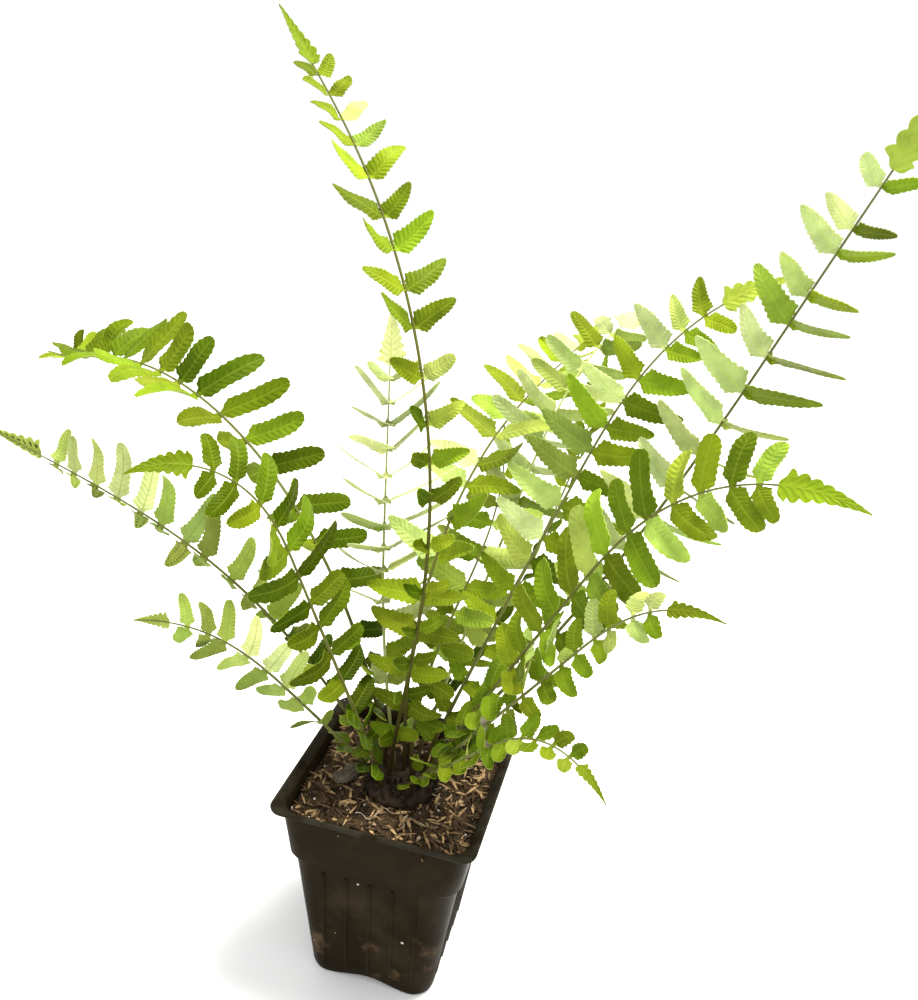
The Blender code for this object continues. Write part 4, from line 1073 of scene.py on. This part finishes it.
bpy.ops.mesh.primitive_circle_add(vertices=8, radius=1.0, fill_type="NGON", location=(0.0, 0.0, 0.0))
stem_rod = bpy.context.object
stem_rod.name = "stem_rod"
ROD_RINGS = 72
bpy.ops.object.mode_set(mode="EDIT")
bpy.ops.mesh.select_all(action="SELECT")
for ring in range(ROD_RINGS):
    bpy.ops.mesh.extrude_region_move(TRANSFORM_OT_translate={"value": (0.0, 0.0, 1.0)})
bpy.ops.mesh.select_all(action="SELECT")
bpy.ops.mesh.normals_make_consistent(inside=False)
bpy.ops.object.mode_set(mode="OBJECT")

stem_skin, tree, shader, coordinates = finish_of("stem_skin", 0.55, Specular_IOR_Level=0.02)
tone = own_tone(tree)
colour = mix_colour(tree, tone["Green"], (0.42, 0.46, 0.18), (0.060, 0.062, 0.003))
colour = mix_colour(tree, ramp(tree, tone["Red"], 0.24, 0.02), colour, (0.036, 0.021, 0.007))
flecks = use_effect(tree, clouds, coordinates, Scale=500.0, From=0.50, To=0.72)
colour = stained(tree, colour, flecks, 0.35, (0.07, 0.05, 0.02))
coat(tree, shader, colour, fine_grain(tree, coordinates, 900.0), 0.0001)

# the grooved stems, each from its seat in the crown to its frond's tip
lines, stems = {}, {}
for row in FRONDS:
    name, ring_mm, angle, heading, long_mm, lean, droop, droop_at, sweep, roll, dark_stem = row[:11]
    seat = (ring_mm / 1000 * math.cos(math.radians(angle)), ring_mm / 1000 * math.sin(math.radians(angle)))
    lines[name] = StemLine(seat, heading, long_mm / 1000, lean, droop, droop_at, sweep, roll)
    stem = copy_of(stem_rod)
    rod = points_of(stem)
    share = rod[:, 2] / ROD_RINGS
    spots, lefts, normals = lines[name].smoothed(np.clip(share * 1.02 - 0.02, 0.0, 0.999))
    radius = 0.85 * STEM_FOOT + (0.50 * STEM_TIP - 0.85 * STEM_FOOT) * share
    radius *= 1.0 + 0.30 * np.clip(1.0 - share / 0.05, 0.0, 1.0)
    groove = np.where(rod[:, 1] > 0.9, 0.55, 1.0)
    placed = spots + lefts * (rod[:, 0] * radius)[:, None] + normals * (rod[:, 1] * groove * radius)[:, None]
    placed[share < 0.01] += np.array((0.0, 0.0, STEM_ROOT_Z - STEM_START))
    stem.data.vertices.foreach_set("co", placed.ravel())
    shade_copy(stem, share, dark_stem)
    stem.data.materials.append(stem_skin)
    stems[name] = stem
stem_trees = {name: tree_of(stem) for name, stem in stems.items()}

growth = random.Random(3733)
look = random.Random(58)
grown = []
for row in FRONDS:
    (fold_left, fold_right, louvre_left, louvre_right, forward, tip_lead, greatest_mm, late, pairs, shape,
     age_left, age_right, spores, slot) = row[11:]
    name = row[0]
    line = lines[name]
    small_frond = greatest_mm < SMALL_FROND_MM
    pieces = [stems[name]]
    other_stems = [tree for owner, tree in stem_trees.items() if owner != name]
    corners = KDTree(len(frame["nodes"][name].data.vertices))
    for vert in frame["nodes"][name].data.vertices:
        corners.insert(vert.co, vert.index)
    corners.balance()

    # the leaflets, each bent the way that brings its tip to a corner of the frond's own solid
    for pair in range(pairs):
        place = (pair + 0.35 * growth.random()) / (pairs - 0.65)
        place *= 1.0 + 0.18 * (1.0 - place)
        share = FIRST_PAIR + (END_START - END_GAP / line.length - FIRST_PAIR) * place
        spot, tangent, left, normal = line.at(share)
        stem_radius = STEM_FOOT + (STEM_TIP - STEM_FOOT) * share
        for side, fold, louvre in ((1, fold_left, louvre_left), (-1, fold_right, louvre_right)):
            size = leaflet_length(share, greatest_mm / 1000, late) * growth.uniform(0.80, 1.10)
            width = min(GREATEST_WIDTH, LEAST_WIDTH + WIDTH_SHARE * size)
            twist = louvre + growth.uniform(-18, 18)
            curl = growth.uniform(-0.05, 0.30)
            bow = growth.uniform(-0.02, 0.18)
            wander = growth.uniform(-13, 13)
            ahead = min(46.0, forward + tip_lead * max(0.0, share - 0.6) / 0.4 + growth.uniform(-9, 9))
            free = size > SHORT_LEAFLET and abs(louvre) < 60 and not small_frond and share > 0.3
            play = 1.0 if free else 0.3
            for more_fold, more_sweep, portion in BENDS:
                lift = math.radians(min(62.0, fold + wander + more_fold))
                lead = math.radians(ahead + more_sweep)
                flat = left * side * math.cos(lead) + tangent * math.sin(lead)
                reach = flat * math.cos(lift) + normal * math.sin(lift)
                along = (tangent - reach * tangent.dot(reach)).normalized()
                up = reach.cross(along) * -side
                base = spot + left * side * (stem_radius + STALK)
                tip = base + (reach - up * curl + along * bow) * size * portion
                if corners.find(tip)[2] < SAME_PLACE:
                    break
            else:
                continue
            turns = [twist, twist + 10, twist - 10, twist + 20, twist - 20]
            if share < 0.35 or small_frond:
                turns = turns_to_light(twist, along, up)
            blank = short_blank if size > SHORT_LEAFLET else small_blank
            if size > LONG_LEAFLET:
                blank = long_blanks[shape]
            bends = (bow, play * look.uniform(0.0002, 0.0007), look.uniform(0, 6),
                     play * look.uniform(-0.30, 0.40), look.choice((-0.22, -0.06, -0.02, 0.03, 0.10)),
                     play * look.uniform(-26, 26))
            neighbours = other_stems + (grown[:-1] if side == -1 else grown)
            choices = [(turn, slim) for slim in (1.0, 0.75, 0.55) for turn in turns]
            for turn, slim in choices:
                early = 0.02 if abs(turn) > 22 else 0.45
                leaf = curl_leaflet(blank, base, spot, reach, along, up, size * portion,
                                    slim * width * (0.5 + 0.5 * portion), turn, curl, early, *bends)
                tree = tree_of(leaf)
                if (turn, slim) == choices[-1] or not any(tree.overlap(other) for other in neighbours):
                    break
                bpy.data.meshes.remove(leaf.data)
            grown.append(tree)
            # Leaflets near a frond's foot get a darker, older green: partly their age, partly painted shade
            # low in the plant.
            low = 0.50 * (1.0 - smooth(share / 0.58))
            spotted = spores * smooth((share - 0.35) / 0.3) if side == -1 else 0.0
            brightness = look.random()
            age_and_shade = (age_left if side == 1 else age_right) + low + look.uniform(-0.24, 0.24)
            shade_copy(leaf, brightness, min(1.0, max(0.0, age_and_shade)), spotted)
            pieces.append(leaf)

    # the cut tip, which follows the end of the stem
    end = copy_of(tip_blank)
    flat = points_of(end)
    spots, lefts, normals = line.smoothed(END_START + (0.9999 - END_START) * flat[:, 0])
    half = END_HALF_WIDTH * greatest_mm * flat[:, 1]
    fold = np.radians(0.6 * np.where(half > 0, fold_left, fold_right))
    rise = np.abs(half) * (np.sin(fold) + 0.05 * np.sin(9.0 * flat[:, 0] + look.uniform(0, 6)))
    placed = spots + lefts * (half * np.cos(fold))[:, None] + normals * (flat[:, 2] + 0.0003 + rise)[:, None]
    end.data.vertices.foreach_set("co", placed.ravel())
    end.data.flip_normals()
    shade_copy(end, look.random(), (age_left + age_right) / 2, spores)
    pieces.append(end)
    grown.append(tree_of(end))

    for leaf in pieces[1:]:
        leaf.data.materials[0] = leaf_top
        leaf.data.materials[1] = leaf_underside
    frond = join_up("leafy_" + name, pieces)
    smooth_over(frond, 50)
    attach(frond, "root")
    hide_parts(name)

for model in (*long_blanks.values(), short_blank, small_blank, tip_blank, stem_rod):
    bpy.data.objects.remove(model)
